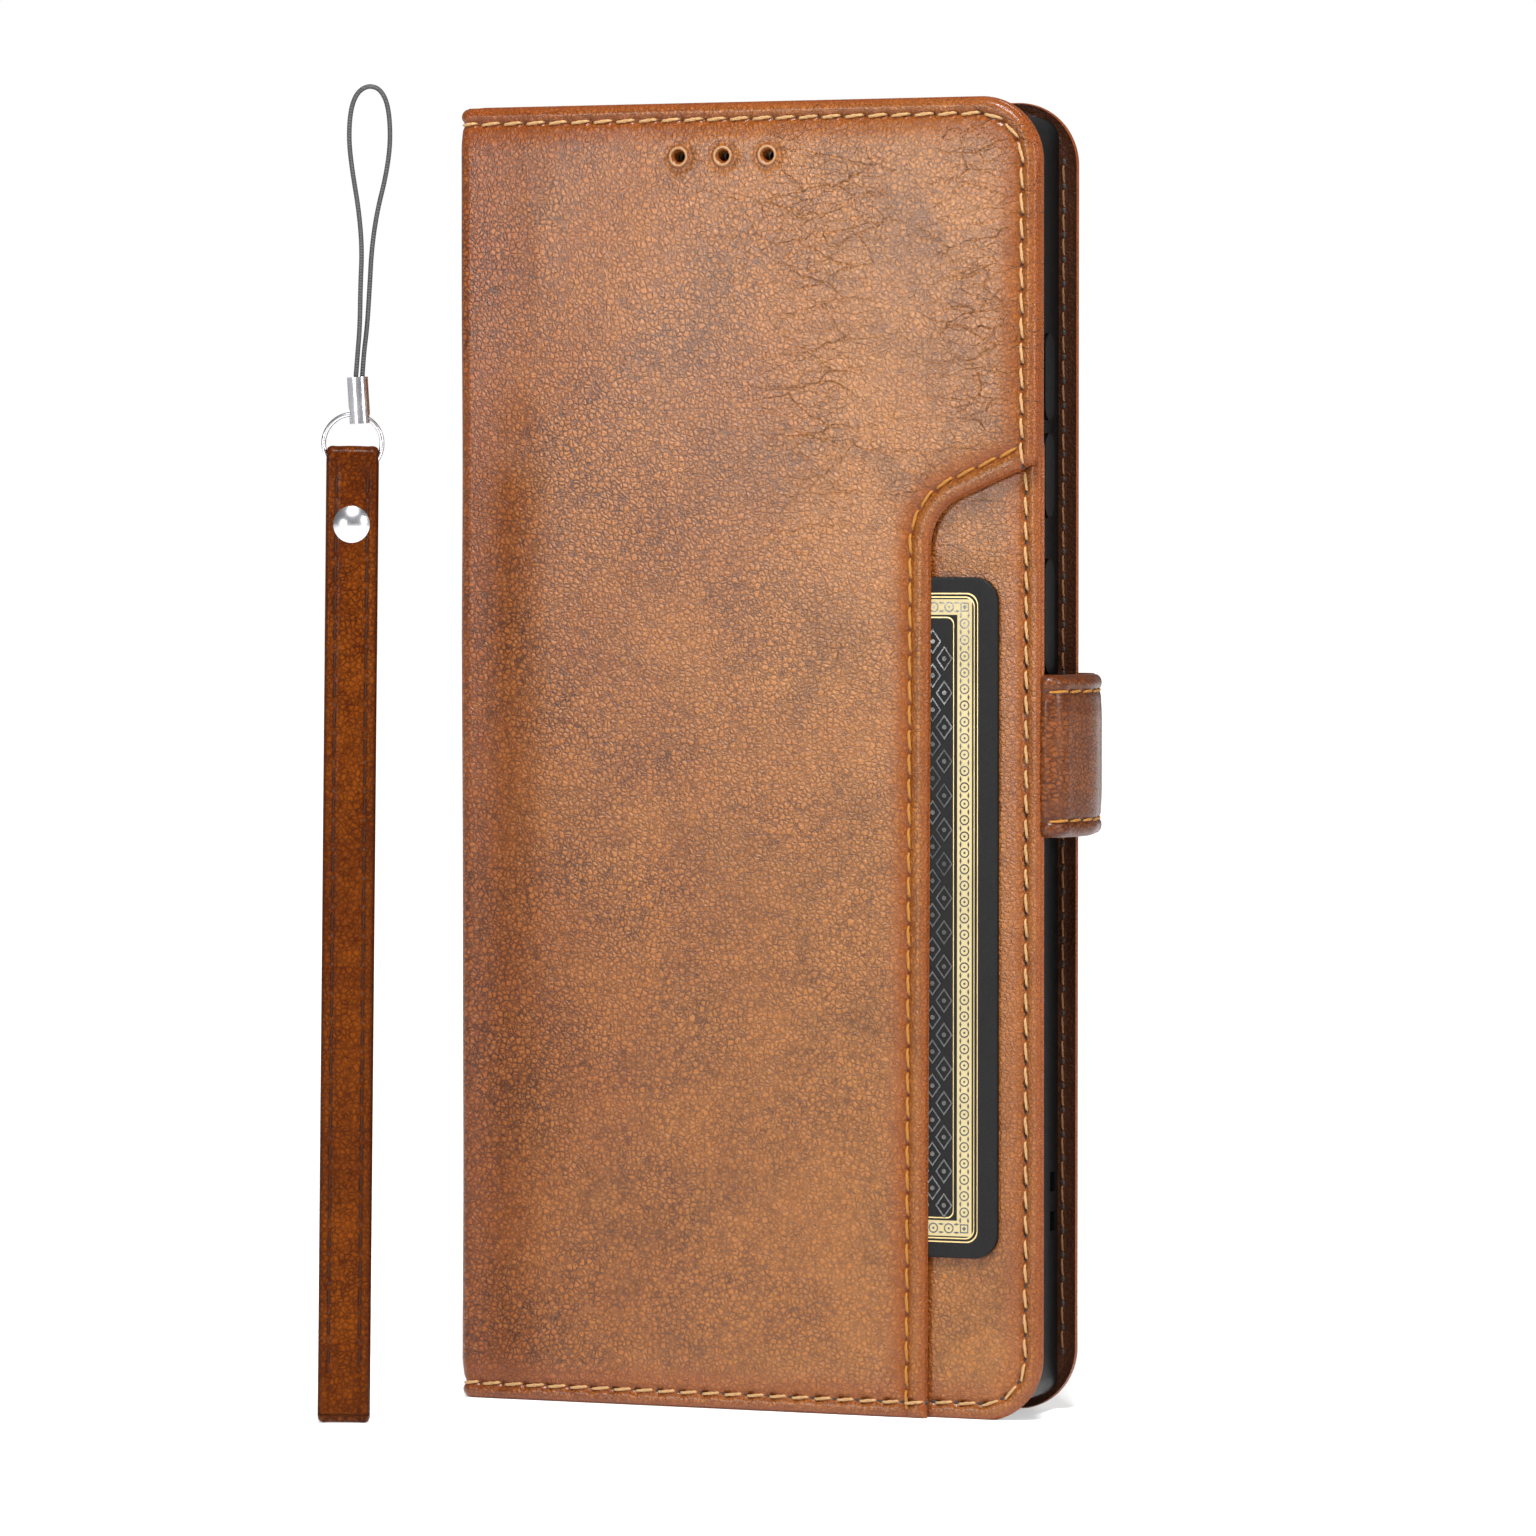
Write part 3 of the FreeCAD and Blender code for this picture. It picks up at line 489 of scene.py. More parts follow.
def leather(name, dark, middle, light, burnish_and_shade, grain=0.06, gloss=0.34, aged=1.0, wrinkles=True, zones=False, shine=0.2,
            coat=0.0, polish=0.28):
    """Pull-up leather: cloudy colour, pebble grain with dark valleys, fine creases drawn darker as painted shade, and
    burnished edges that also carry painted shade; with zones, darker towards the left, partly pigment and partly
    painted shade.
    """
    look = Look(name)
    tex = look.attribute("tex")
    edge = look.attribute("edge", "Fac")
    parts = look.tree.nodes.new("ShaderNodeSeparateXYZ")
    look.feed(parts, {0: tex})
    clouds = look.noise(tex, 0.045, 5.0, 0.62, 1.2)
    smoke = look.noise(look.moved(tex, location=(31, 7, 3)), 0.10, 6.0, 0.68, 0.9)
    streaks = look.noise(look.moved(tex, (1, 0.45, 1), (0, 0, 0.7), (3, 50, 9)), 0.16, 4.0, 0.6, 1.6)
    colour = look.mix(look.spread(clouds, 0.34, 0.66), middle, light)
    colour = look.mix(look.times(look.spread(smoke, 0.45, 0.66), 0.6 * aged), colour, dark)
    colour = look.mix(look.times(look.spread(streaks, 0.52, 0.75), 0.45 * aged), colour, light)
    # with zones the cover turns darker and more saturated towards the left: partly the leather's own darker pigment,
    # partly painted shade where the cover rounds the crease away from the light
    if zones:
        left = look.spread(parts.outputs[0], 15, -38)
        left = look.times(left, look.spread(look.noise(tex, 0.06, 3.0), 0.25, 0.6, 0.4, 1.0))
        colour = look.mix(look.times(left, 0.65), colour, burnish_and_shade)
        # a narrower darker band along the rounded left edge: painted shade of the crease
        rolled = look.times(look.spread(parts.outputs[0], -27, -37), 0.7)
        colour = look.mix(rolled, colour, burnish_and_shade)
    warped = look.warped(tex, 0.9, 0.55)
    pebbles = look.cells(warped, 1.5)
    small = look.cells(look.warped(tex, 2.1, 0.3), 3.0)
    valleys = look.spread(pebbles, 0.02, 0.22, 1.0, 0.0)
    pores = look.spread(look.noise(tex, 0.8, 3.0, 0.6), 0.40, 0.58, 0.6, 1.0)
    bare = look.spread(look.noise(look.moved(tex, location=(11, 3, 0)), 0.055, 2.0), 0.40, 0.60, 0.7, 1.0)
    if zones:
        bare = look.times(bare, look.spread(parts.outputs[0], 35, -30, 0.65, 1.0))
    mottle = look.noise(look.moved(tex, location=(7, 2, 5)), 1.1, 3.0, 0.65)
    colour = look.mix(look.times(look.spread(mottle, 0.5, 0.68), 0.4 * aged), colour, dark)
    colour = look.mix(look.times(look.spread(mottle, 0.5, 0.32), 0.4 * aged), colour, light)
    pits = look.spread(look.noise(look.moved(tex, (1, 0.8, 1), (0, 0, 0.5)), 2.1, 2.0, 0.55), 0.56, 0.68)
    speck = look.times(look.math("MAXIMUM", look.times(valleys, pores),
                                            pits), bare)
    colour = look.mix(look.times(look.spread(pebbles, 0.2, 0.42), 0.16 * aged), colour,
                      (min(light[0] * 1.35, 1), min(light[1] * 1.3, 1), min(light[2] * 1.25, 1), 1))
    colour = look.mix(look.times(speck, 0.95 * aged), colour,
                      (dark[0] * 0.3, dark[1] * 0.18, dark[2] * 0.1, 1))
    height = look.math("ADD", look.times(look.spread(pebbles, 0.0, 0.3), 0.75),
                       look.times(look.spread(small, 0.0, 0.25), 0.35))
    slow = look.bump(look.noise(tex, 0.22, 3.0, 0.55), 0.3)
    bumpy = look.bump(height, grain, slow)
    glaze = look.bump(height, grain * 0.07)
    if wrinkles:
        turned = look.moved(look.warped(tex, 0.28, 3.0), (0.55, 1.5, 1), (0, 0, 0.45))
        lines = look.spread(look.cells(turned, 0.17), 0.0, 0.02, 1.0, 0.0)
        finer = look.spread(look.cells(look.moved(look.warped(tex, 0.6, 1.6), (0.5, 1.6, 1), (0, 0, -0.15),
                                                  (5, 0, 0)), 0.42), 0.0, 0.035, 1.0, 0.0)
        crease_area = look.spread(look.noise(look.moved(tex, location=(0, 70, 0)), 0.07, 3.0), 0.36, 0.62, 0.1, 1.0)
        if zones:
            crease_area = look.times(crease_area, look.times(look.spread(parts.outputs[0], -12, 12),
                                                         look.spread(parts.outputs[1], 70, 125, 0.12, 1.0)))
        creases = look.times(look.math("MAXIMUM", lines, look.times(finer, 0.5)), crease_area)
        # crease lines drawn darker: painted shade in the creases, over their bump
        colour = look.mix(look.times(creases, 0.35), colour,
                          (dark[0] * 0.5, dark[1] * 0.42, dark[2] * 0.4, 1))
        smooth_part = look.math("SUBTRACT", 1.0, creases)
        bumpy, glaze = look.bump(smooth_part, 0.12, bumpy), look.bump(smooth_part, 0.025, glaze)
    # darker and more orange where the edge attribute is high: burnished edges, plus the painted shade and shadows
    # that some panels add to it (pocket mouth, card outline, earpiece holes)
    colour = look.mix(look.times(edge, 0.8), colour, burnish_and_shade)
    rough = look.spread(look.noise(tex, 0.5, 4.0, 0.6), 0.3, 0.7, gloss - 0.06, gloss + 0.08)
    return look.finish(Base_Color=colour, Roughness=rough, Normal=bumpy, Specular_IOR_Level=shine,
                       Coat_Weight=coat, Coat_Roughness=polish, Coat_Normal=glaze)


def thread(name, colour):
    look = Look(name)
    tex = look.attribute("tex")
    twist = look.add("TexWave", {"Vector": tex, "Scale": 0.9, "Distortion": 1.5, "Detail": 1.0})
    shade = look.mix(look.spread(look.noise(tex, 1.4, 2.0), 0.3, 0.7), colour,
                     (colour[0] * 0.72, colour[1] * 0.66, colour[2] * 0.6, 1))
    return look.finish(Base_Color=shade, Roughness=0.5, Specular_IOR_Level=0.15, Normal=look.bump(twist, 0.05))


def plain(name, colour, rough, grain=0.02, grain_scale=2.5, metal=0.0, specular=0.5, variation=0.15):
    """Moulded, pressed or rolled surface: slight colour drift, fine grain and uneven polish."""
    look = Look(name)
    spot = look.object_mm()
    drift = look.noise(spot, 0.12, 3.0, 0.6)
    low = tuple(c * (1 - variation) for c in colour[:3]) + (1,)
    shade = look.mix(look.spread(drift, 0.3, 0.7), low, colour)
    fine = look.noise(spot, grain_scale, 3.0, 0.6)
    uneven = look.spread(look.noise(spot, 0.35, 4.0), 0.3, 0.7, max(rough - 0.05, 0.02), rough + 0.06)
    return look.finish(Base_Color=shade, Roughness=uneven, Metallic=metal, Specular_IOR_Level=specular,
                       Normal=look.bump(fine, grain))


def braided(name, colour):
    look = Look(name)
    spot = look.object_mm()
    weave = look.add("TexWave", {"Vector": look.moved(spot, (1, 1, 1), (0.5, 0.4, 0)), "Scale": 1.1,
                                 "Distortion": 0.6}, bands_direction="Z")
    other = look.add("TexWave", {"Vector": look.moved(spot, (1, 1, 1), (-0.5, -0.4, 0)), "Scale": 1.1,
                                 "Distortion": 0.6}, bands_direction="Z")
    both = look.math("MAXIMUM", weave, other)
    shade = look.mix(both, (colour[0] * 0.35, colour[1] * 0.35, colour[2] * 0.35, 1), colour)
    return look.finish(Base_Color=shade, Roughness=0.6, Normal=look.bump(both, 0.06))


TAN = leather("tan_leather", seen(124, 76, 28), seen(174, 106, 42), seen(190, 122, 54), seen(152, 70, 8),
              grain=0.2, zones=True, shine=0.1, coat=0.35, polish=0.25)
CLASP_TAN = leather("clasp_leather", seen(84, 42, 16), seen(122, 62, 24), seen(146, 82, 36), seen(88, 40, 12),
                    gloss=0.32, grain=0.06, wrinkles=False, shine=0.1, coat=0.2, polish=0.22)
STRAP = leather("strap_leather", seen(66, 24, 2), seen(98, 40, 2), seen(140, 70, 8), seen(66, 24, 2),
                gloss=0.3, grain=0.07, aged=0.8, wrinkles=False, shine=0.02, coat=0.05, polish=0.2)
BROWN = leather("brown_lining", seen(40, 20, 10), seen(68, 34, 16), seen(84, 46, 24), seen(46, 22, 10),
                gloss=0.42, grain=0.06, aged=0.5, wrinkles=False, shine=0.08)
RIM_TAN = leather("rim_leather", seen(150, 100, 62), seen(196, 146, 102), seen(210, 162, 118), seen(160, 110, 70),
                  grain=0.04, wrinkles=False, aged=0.3, shine=0.1, coat=0.2)
THREAD = thread("tan_thread", seen(236, 190, 134))
GOLD_THREAD = thread("gold_thread", seen(216, 150, 68))
DARK_THREAD = thread("dark_thread", seen(70, 32, 12))
LINING_THREAD = thread("lining_thread", seen(150, 106, 66))
# painted shade: the dark of the needle holes
NEEDLE_HOLE_SHADE = plain("needle_hole_shade", seen(30, 16, 8), 0.7)
CARD_BLACK = plain("card_black", seen(24, 24, 25), 0.5, 0.14, 2.6, specular=0.15)
RELIEF_BLACK = plain("relief_black", seen(10, 10, 11), 0.16, 0.01, 2.0, specular=0.8)
FOIL_GOLD = plain("foil_gold", seen(236, 206, 140), 0.34, 0.01, 3.0, metal=0.5)
BAND_CREAM = plain("band_cream", seen(214, 196, 146), 0.5, 0.01, 3.0, specular=0.2)
SHELL_BLACK = plain("shell_black", seen(14, 14, 15), 0.42, 0.012, 4.0, specular=0.1)
CHROME = plain("chrome", rgb(190, 190, 194), 0.24, 0.003, 1.5, metal=1.0, variation=0.08)
STEEL = plain("rolled_steel", rgb(150, 150, 152), 0.35, 0.01, 1.5, metal=1.0)
PAPER_BOARD = plain("grey_board", rgb(150, 142, 130), 0.85, 0.03, 1.2)
CORD_GREY = braided("grey_braid", seen(62, 62, 64))


# ---- camera, floor and light ----
def camera():
    data = bpy.data.cameras.new("camera")
    data.lens, data.sensor_width = 169.8, 36.0
    data.clip_start, data.clip_end = 0.01, 50
    azimuth, pitch = math.radians(21.36), math.radians(1.81)
    away, height = 926.4, 110.8
    eye = bpy.data.objects.new("camera", data)
    eye.location = Vector((away * math.sin(azimuth), -7.5 - away * math.cos(azimuth), height)) * MM
    eye.rotation_euler = (math.pi / 2 - pitch, 0, azimuth)
    bpy.context.scene.collection.objects.link(eye)
    bpy.context.scene.camera = eye


def soft_light(name, place, target, size, power):
    data = bpy.data.lights.new(name, "AREA")
    data.shape, data.size, data.size_y = "RECTANGLE", size[0], size[1]
    data.energy = power
    lamp = bpy.data.objects.new(name, data)
    lamp.location = place
    lamp.rotation_euler = (Vector(target) - Vector(place)).to_track_quat("-Z", "Y").to_euler()
    bpy.context.scene.collection.objects.link(lamp)


ROOM_LIGHT = 0.28                # what the room gives the object; the camera sees its walls white


def studio():
    world = bpy.data.worlds.new("white_room")
    world.use_nodes = True
    tree = world.node_tree
    ray = tree.nodes.new("ShaderNodeLightPath")
    fill = tree.nodes.new("ShaderNodeMath")
    fill.operation = "MAXIMUM"
    fill.inputs[1].default_value = ROOM_LIGHT
    tree.links.new(ray.outputs["Is Camera Ray"], fill.inputs[0])
    tree.links.new(fill.outputs[0], tree.nodes["Background"].inputs["Strength"])
    tree.nodes["Background"].inputs["Color"].default_value = (1, 1, 1, 1)
    bpy.context.scene.world = world
    bpy.context.scene.view_settings.view_transform = "Standard"
    look = Look("white_floor")
    spot = look.object_mm()
    away = look.add("VectorMath", {0: spot}, 1, operation="LENGTH")
    glow = look.spread(away, 250, 900, 0.36, 0.85)
    rough = look.spread(look.noise(spot, 0.02, 2.0), 0.3, 0.7, 0.16, 0.22)
    look.finish(Base_Color=(1, 1, 1, 1), Roughness=rough, Specular_IOR_Level=0.12,
                Emission_Color=(1, 1, 1, 1), Emission_Strength=glow)
    bpy.ops.mesh.primitive_circle_add(vertices=96, radius=6.0, fill_type="NGON", location=(0, 0, 0))
    floor = bpy.context.object
    floor.name = "floor"
    floor.data.materials.append(look.material)
    soft_light("key", (-0.27, -0.85, 0.20), (0.0, 0, 0.10), (0.16, 0.14), 2.9)
    soft_light("top", (0.15, -0.42, 0.85), (0.0, 0, 0.08), (0.25, 0.25), 16.0)
    soft_light("side", (0.80, -0.25, 0.35), (0.03, 0, 0.08), (0.15, 0.4), 4.5)


camera()
studio()


# ---- the lanyard's own frame, and its cord ----
LEAN, TURN = math.radians(0.64), math.radians(21.0)
STRAP_HALF_W = 3.25
LANYARD = (Matrix.Translation((-42.2, -45.8, STRAP_HALF_W * math.sin(LEAN)))
           @ Matrix.Rotation(TURN, 4, "Z") @ Matrix.Rotation(LEAN, 4, "Y"))
CORD_ROUTE = [(0.32, -0.36, 130.9), (0.50, -0.42, 133.6), (0.78, -0.46, 137.4), (0.80, -0.46, 142.4),
              (0.96, -0.42, 147.0), (0.50, -0.36, 151.8), (-0.32, -0.28, 156.4), (-0.80, -0.22, 160.0),
              (-0.78, -0.16, 163.0), (-0.40, -0.10, 165.3), (0.42, -0.04, 166.75), (1.70, 0.00, 167.35),
              (2.98, 0.05, 166.90), (3.84, 0.10, 165.4), (4.24, 0.16, 163.0), (4.30, 0.22, 159.8),
              (3.78, 0.28, 156.0), (2.72, 0.34, 151.6), (2.10, 0.40, 147.0), (1.90, 0.44, 142.4),
              (1.62, 0.46, 137.2), (1.22, 0.42, 133.8), (1.08, 0.36, 130.9)]
CORD_D = 0.6


def lanyard_cord():
    curve = bpy.data.curves.new("cord_loop", "CURVE")
    curve.dimensions = "3D"
    spline = curve.splines.new("NURBS")
    spline.points.add(len(CORD_ROUTE) - 1)
    for point, spot in zip(spline.points, CORD_ROUTE):
        point.co = (*(LANYARD @ Vector(spot) * MM), 1)
    spline.order_u = 3
    spline.use_endpoint_u = True
    spline.resolution_u = 12
    curve.bevel_depth = CORD_D / 2 * MM
    curve.bevel_resolution = 4
    curve.use_fill_caps = True
    curve.materials.append(CORD_GREY)
    cord = bpy.data.objects.new("cord_loop", curve)
    bpy.context.scene.collection.objects.link(cord)
    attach(cord, "lanyard_crimp")
    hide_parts("lanyard_cord")
    LANYARD @ Vector(CORD_ROUTE[0]) * MM


lanyard_cord()


# ---- front cover ----
def flat_front(y0):
    return lambda s, z, out: np.stack([s, y0 - out, z], -1)


def flat_back(y0):
    """Faces +Y: s runs towards -X, so that the panel is still drawn as seen."""
    return lambda s, z, out: np.stack([-s, y0 + out, z], -1)


CREASE_FLAT = LEFT + CREASE_R
CREASE_ARC = CREASE_R * math.pi / 2
SPINE_S = CREASE_FLAT - CREASE_ARC - (SPINE_MID - FRONT - CREASE_R)


def wrap_front(s, z, out):
    """Front face, round the crease and half-way across the spine."""
    angle = np.clip((CREASE_FLAT - s) / CREASE_R, 0, math.pi / 2)
    past = np.maximum(CREASE_FLAT - CREASE_ARC - s, 0)
    flat = s >= CREASE_FLAT
    x = np.where(flat, s, CREASE_FLAT - (CREASE_R + out) * np.sin(angle))
    y = np.where(flat, FRONT - out, FRONT + CREASE_R - (CREASE_R + out) * np.cos(angle) + past)
    return np.stack([x, y, z], -1)


def wrap_back(s, z, out):
    """Back face, round the other crease and half-way across the spine."""
    flat = s <= -CREASE_FLAT
    angle = np.clip((s + CREASE_FLAT) / CREASE_R, 0, math.pi / 2)
    past = np.maximum(s + CREASE_FLAT - CREASE_ARC, 0)
    x = np.where(flat, -s, CREASE_FLAT - (CREASE_R + out) * np.sin(angle))
    y = np.where(flat, BACK + out, BACK - CREASE_R + (CREASE_R + out) * np.cos(angle) - past)
    return np.stack([x, y, z], -1)


def swell(p):
    """Slow unevenness of a glued skin."""
    x, z = p[:, 0], p[:, 1]
    return 0.05 * np.sin(x / 8.3 + 0.9 * np.sin(z / 19)) * np.sin(z / 13.0 + 1.1) + 0.03 * np.sin(x / 3.9 - z / 7.1)


def sewn_rise(border, seams, spots, roll=0.9, drop=0.75, puff=0.2, uneven=1.0):
    """Height of a skin whose edge is turned over and sewn along some seams."""
    def rise(p):
        d = distance(p, border)
        away = np.min([distance(p, seam) for seam in seams], 0)
        h = -drop * rounded(d, roll)
        h += 0.18 * bell(d - 1.1, 0.75) + puff * smooth(SEAM, SEAM + 3.2, d)
        h -= 0.3 * bell(away, 0.42) * (0.75 + 0.25 * np.cos(nearest(p, spots) * 2 * math.pi / PITCH))
        h -= 0.3 * bell(nearest(p, spots), 0.45)
        return h + swell(p) * uneven * smooth(0.5, 3.5, np.minimum(d, away + 0.4))
    return rise


def edge_shade(border, seams):
    def shade(p):
        d = distance(p, border)
        away = np.min([distance(p, seam) for seam in seams], 0)
        return np.clip(bell(d, 0.9) + 0.7 * bell(away, 0.7) + 0.5 * bell(d - 3.5, 1.3), 0, 1)
    return shade


def dress(piece, body=None, stands_for=()):
    """The CAD nodes a piece replaces and the body it rides on."""
    if stands_for:
        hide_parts(*stands_for)
    if body:
        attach(piece, body)


def round_hole(x, z, r):
    return rectangle(x - r, x + r, z - r, z + r, r, r)


UPPER = [(SPINE_S, 0, 0), STEP[0], STEP[1], STEP[2], (RIGHT, HEIGHT, FREE_R), (SPINE_S, HEIGHT, 0)]
UPPER_FREE = guide_line(UPPER)
STEP_LINE = guide_line([(24.503, 0.6 + 3.1, 0), STEP[1], (RIGHT - 1.4, 119.9, 0)], STEP_SEAM)
STEP_LINE = np.vstack([[STEP_LINE[0][0], 0.7], STEP_LINE[1:]])
PERIMETER_CORNERS = [(LEFT - 0.4, SEAM, 0), (RIGHT - SEAM, SEAM, FREE_R - SEAM),
                     (RIGHT - SEAM, HEIGHT - SEAM, FREE_R - SEAM), (LEFT - 0.4, HEIGHT - SEAM, 0)]
PERIMETER = guide_line(PERIMETER_CORNERS)
STEP_SPOTS, PERIMETER_SPOTS = hole_spots(STEP_LINE), hole_spots(PERIMETER)
FRONT_SPOTS = np.vstack([STEP_SPOTS, PERIMETER_SPOTS])
UPPER_BORDER = outline(UPPER, 0.5)
HOLE_POINTS = np.array(HOLES)

front_sewn = sewn_rise(UPPER_FREE, [STEP_LINE, PERIMETER], FRONT_SPOTS)


def upper_rise(p):
    r = nearest(p, HOLE_POINTS, 9.0)
    return front_sewn(p) + 0.16 * bell(r - 1.12, 0.24) - 0.14 * bell(r - 1.62, 0.26) - 0.3 * bell(r - HOLE_R, 0.16)


def upper_shade(p):
    # painted shade: a dark ring in the groove round each earpiece rim and a dark lip where the hole goes in
    r = nearest(p, HOLE_POINTS, 9.0)
    return np.clip(edge_shade(UPPER_FREE, [STEP_LINE, PERIMETER])(p) + 0.5 * bell(r - 1.5, 0.16)
                   + 0.8 * bell(r - HOLE_R, 0.2), 0, 1)


def bend_front(piece):
    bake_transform(piece)


def bend_back(piece):
    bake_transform(piece)


def front_skin():
    piece = panel("front_skin", UPPER, upper_rise, wrap_front, level(-SKIN), [TAN, BROWN],
                  holes=[round_hole(x, z, HOLE_R) for x, z in HOLES], edge=upper_shade,
                  keep_wall=lambda m: m[0] > SPINE_S + 0.01,
                  bend=(CREASE_FLAT - CREASE_ARC - 0.4, CREASE_FLAT + 0.4))
    dress(piece, stands_for=("front_upper_leather", "spine_leather"))
    bend_front(piece)


BASE = rectangle(BASE_LEFT, RIGHT, 0, HEIGHT, 0, FREE_R)
BASE_FREE = guide_line(BASE)
CARD = rectangle(CARD_LOW[0], CARD_HIGH[0], CARD_LOW[2], CARD_HIGH[2], CARD_R, CARD_R)
CARD_LINE = looped(outline(CARD, 200, arc_spacing=0.6))
base_sewn = sewn_rise(BASE_FREE, [PERIMETER], PERIMETER_SPOTS, roll=0.7, drop=0.6, puff=0.1, uneven=0.6)


def ledge(p):
    """Where the skin is pressed back by the card's thickness, so that the card lies on it and can slide out."""
    x, z = p[:, 0], p[:, 1]
    right = smooth(STEP[0][0] - 2.2, STEP[0][0] - 1.0, x) * smooth(STEP[2][1] + 3.0, STEP[2][1] + 1.6, z)
    past = np.maximum.reduce([CARD_LOW[0] - x, z - CARD_HIGH[2], CARD_LOW[2] - z])
    return np.maximum(right, smooth(1.5, 0.4, past))


def base_rise(p):
    pressed = ledge(p)
    hidden = np.where(inside(p, UPPER_BORDER) & (distance(p, UPPER_FREE) > 0.8), 1.0, 0.0)
    h = base_sewn(p) * (1 - hidden)
    swept = pressed * smooth(CARD_LOW[2] - 3, CARD_LOW[2], p[:, 1]) * smooth(CARD_HIGH[2] + 3, CARD_HIGH[2], p[:, 1])
    h = np.where(h > 0, h * (1 - swept), h) - SUNK_SEAM * swept * bell(distance(p, PERIMETER), 0.5)
    return h - LEDGE_DROP * pressed - 0.1 * hidden * (1 - pressed)


def base_back(p):
    return np.where(distance(p, BASE_FREE) > 1.8, UPPER_BACK - BOARD_FRONT + 0.02, UPPER_BACK - BASE_BACK)


def base_shade(p):
    # painted shadow: a dark line on the skin under the edge of the pocket's front leaf, and a dark ring round the
    # card where it lies on the skin
    mouth = distance(p, UPPER_FREE)
    return np.clip(edge_shade(BASE_FREE, [PERIMETER])(p) + 0.85 * bell(mouth, 0.55)
                   + 0.35 * bell(distance(p, CARD_LINE), 0.6), 0, 1)


def base_skin():
    hidden_edge = np.array([(x, z) for x in np.arange(STEP[0][0] - 2.4, STEP[0][0] + 1.2, 0.4)
                            for z in np.arange(0.6, STEP[2][1] + 3.4, 1.2)])
    piece = panel("base_skin", BASE, base_rise, flat_front(UPPER_BACK), base_back, [TAN, BROWN],
                  holes=[round_hole(x, z, HOLE_R) for x, z in HOLES], edge=base_shade, bulge=0.22, wall_rows=5,
                  coarse=1.3, extra=hidden_edge)
    dress(piece, "front_cover", ["front_base_leather"])


def split_runs(line, polygon):
    """The stretches of a line that lie in a polygon, and those that don't."""
    flags = inside(line, polygon)
    runs, start = [], 0
    for i in range(1, len(line) + 1):
        if i == len(line) or flags[i] != flags[start]:
            if i - start > 2:
                runs.append((line[start:i], bool(flags[start])))
            start = i
    return runs


def front_stitches():
    runs = []
    for line, on_upper in split_runs(outline(PERIMETER_CORNERS, 0.4, closed=False), UPPER_BORDER):
        runs.append((line, upper_rise if on_upper else base_rise,
                     wrap_front if on_upper else flat_front(UPPER_BACK)))
    piece = sew("front_perimeter_stitches", runs, [THREAD, NEEDLE_HOLE_SHADE])
    bend_front(piece)
    piece = sew("pocket_mouth_stitches", [(STEP_LINE, upper_rise, wrap_front)], [GOLD_THREAD, NEEDLE_HOLE_SHADE], slant=5)
    dress(piece, "front_cover")


def earpiece_rims():
    """Pressed rings round the three holes."""
    verts, faces, tex = [], [], []
    ring, tube, count, sides = 1.12, 0.17, 36, 8
    for x, z in HOLES:
        start = len(verts)
        level = float(upper_rise(np.array([[x + ring, z]]))[0])
        for k in range(count):
            a = 2 * math.pi * k / count
            for m in range(sides):
                b = 2 * math.pi * m / sides
                r = ring + tube * math.cos(b)
                across, up = x + r * math.cos(a), z + r * math.sin(a)
                verts.append((across, FRONT - level + 0.06 - 0.6 * tube * math.sin(b), up))
                tex.append((across, up, b))
        faces += [quad[::-1] for quad in tube_faces(start, count, sides, wrap=True)]
    piece = make_mesh("earpiece_rims", verts, faces, tex, np.zeros(len(verts)), [0] * len(faces), [RIM_TAN], 80)
    dress(piece, "front_cover")


front_skin()
base_skin()
front_stitches()
earpiece_rims()


# ---- back cover ----
BACK_PANEL = [(-RIGHT, 0, FREE_R), (-SPINE_S, 0, 0), (-SPINE_S, HEIGHT, 0), (-RIGHT, HEIGHT, FREE_R)]
BACK_FREE = guide_line([(-SPINE_S, HEIGHT, 0), (-RIGHT, HEIGHT, FREE_R), (-RIGHT, 0, FREE_R), (-SPINE_S, 0, 0)])
BACK_SEAM = guide_line([(-LEFT + 0.4, HEIGHT - SEAM, 0), (-RIGHT + SEAM, HEIGHT - SEAM, FREE_R - SEAM),
                        (-RIGHT + SEAM, SEAM, FREE_R - SEAM), (-LEFT + 0.4, SEAM, 0)])
BACK_SPOTS = hole_spots(BACK_SEAM)
X0, X1, Z0, Z1, WINDOW_R = CAMERA_WINDOW
WINDOW = rectangle(-X1, -X0, Z0, Z1, WINDOW_R, WINDOW_R)
WINDOW_LINE = looped(guide_line(WINDOW, closed=True))
back_sewn = sewn_rise(BACK_FREE, [BACK_SEAM], BACK_SPOTS)


def back_rise(p):
    d = distance(p, WINDOW_LINE)
    return back_sewn(p) - 0.35 * bell(d, 0.45) + 0.1 * bell(d - 1.3, 0.7) - 0.12 * bell(d - 2.6, 0.35)


def back_shade(p):
    return np.clip(edge_shade(BACK_FREE, [BACK_SEAM])(p) + 0.8 * bell(distance(p, WINDOW_LINE), 0.9), 0, 1)


def back_skin():
    piece = panel("back_skin", BACK_PANEL, back_rise, wrap_back,
                  lambda p: np.where(distance(p, BACK_FREE) < 1.4, -1.65, -SKIN), [TAN, BROWN], holes=[WINDOW],
                  edge=back_shade, keep_wall=lambda m: m[0] < -SPINE_S - 0.01, bulge=0.15,
                  bend=(-CREASE_FLAT - 0.4, -CREASE_FLAT + CREASE_ARC + 0.4))
    dress(piece, stands_for=["back_leather"])
    bend_back(piece)
    piece = sew("back_perimeter_stitches", [(BACK_SEAM, back_rise, wrap_back)], [THREAD, NEEDLE_HOLE_SHADE])
    bend_back(piece)


back_skin()


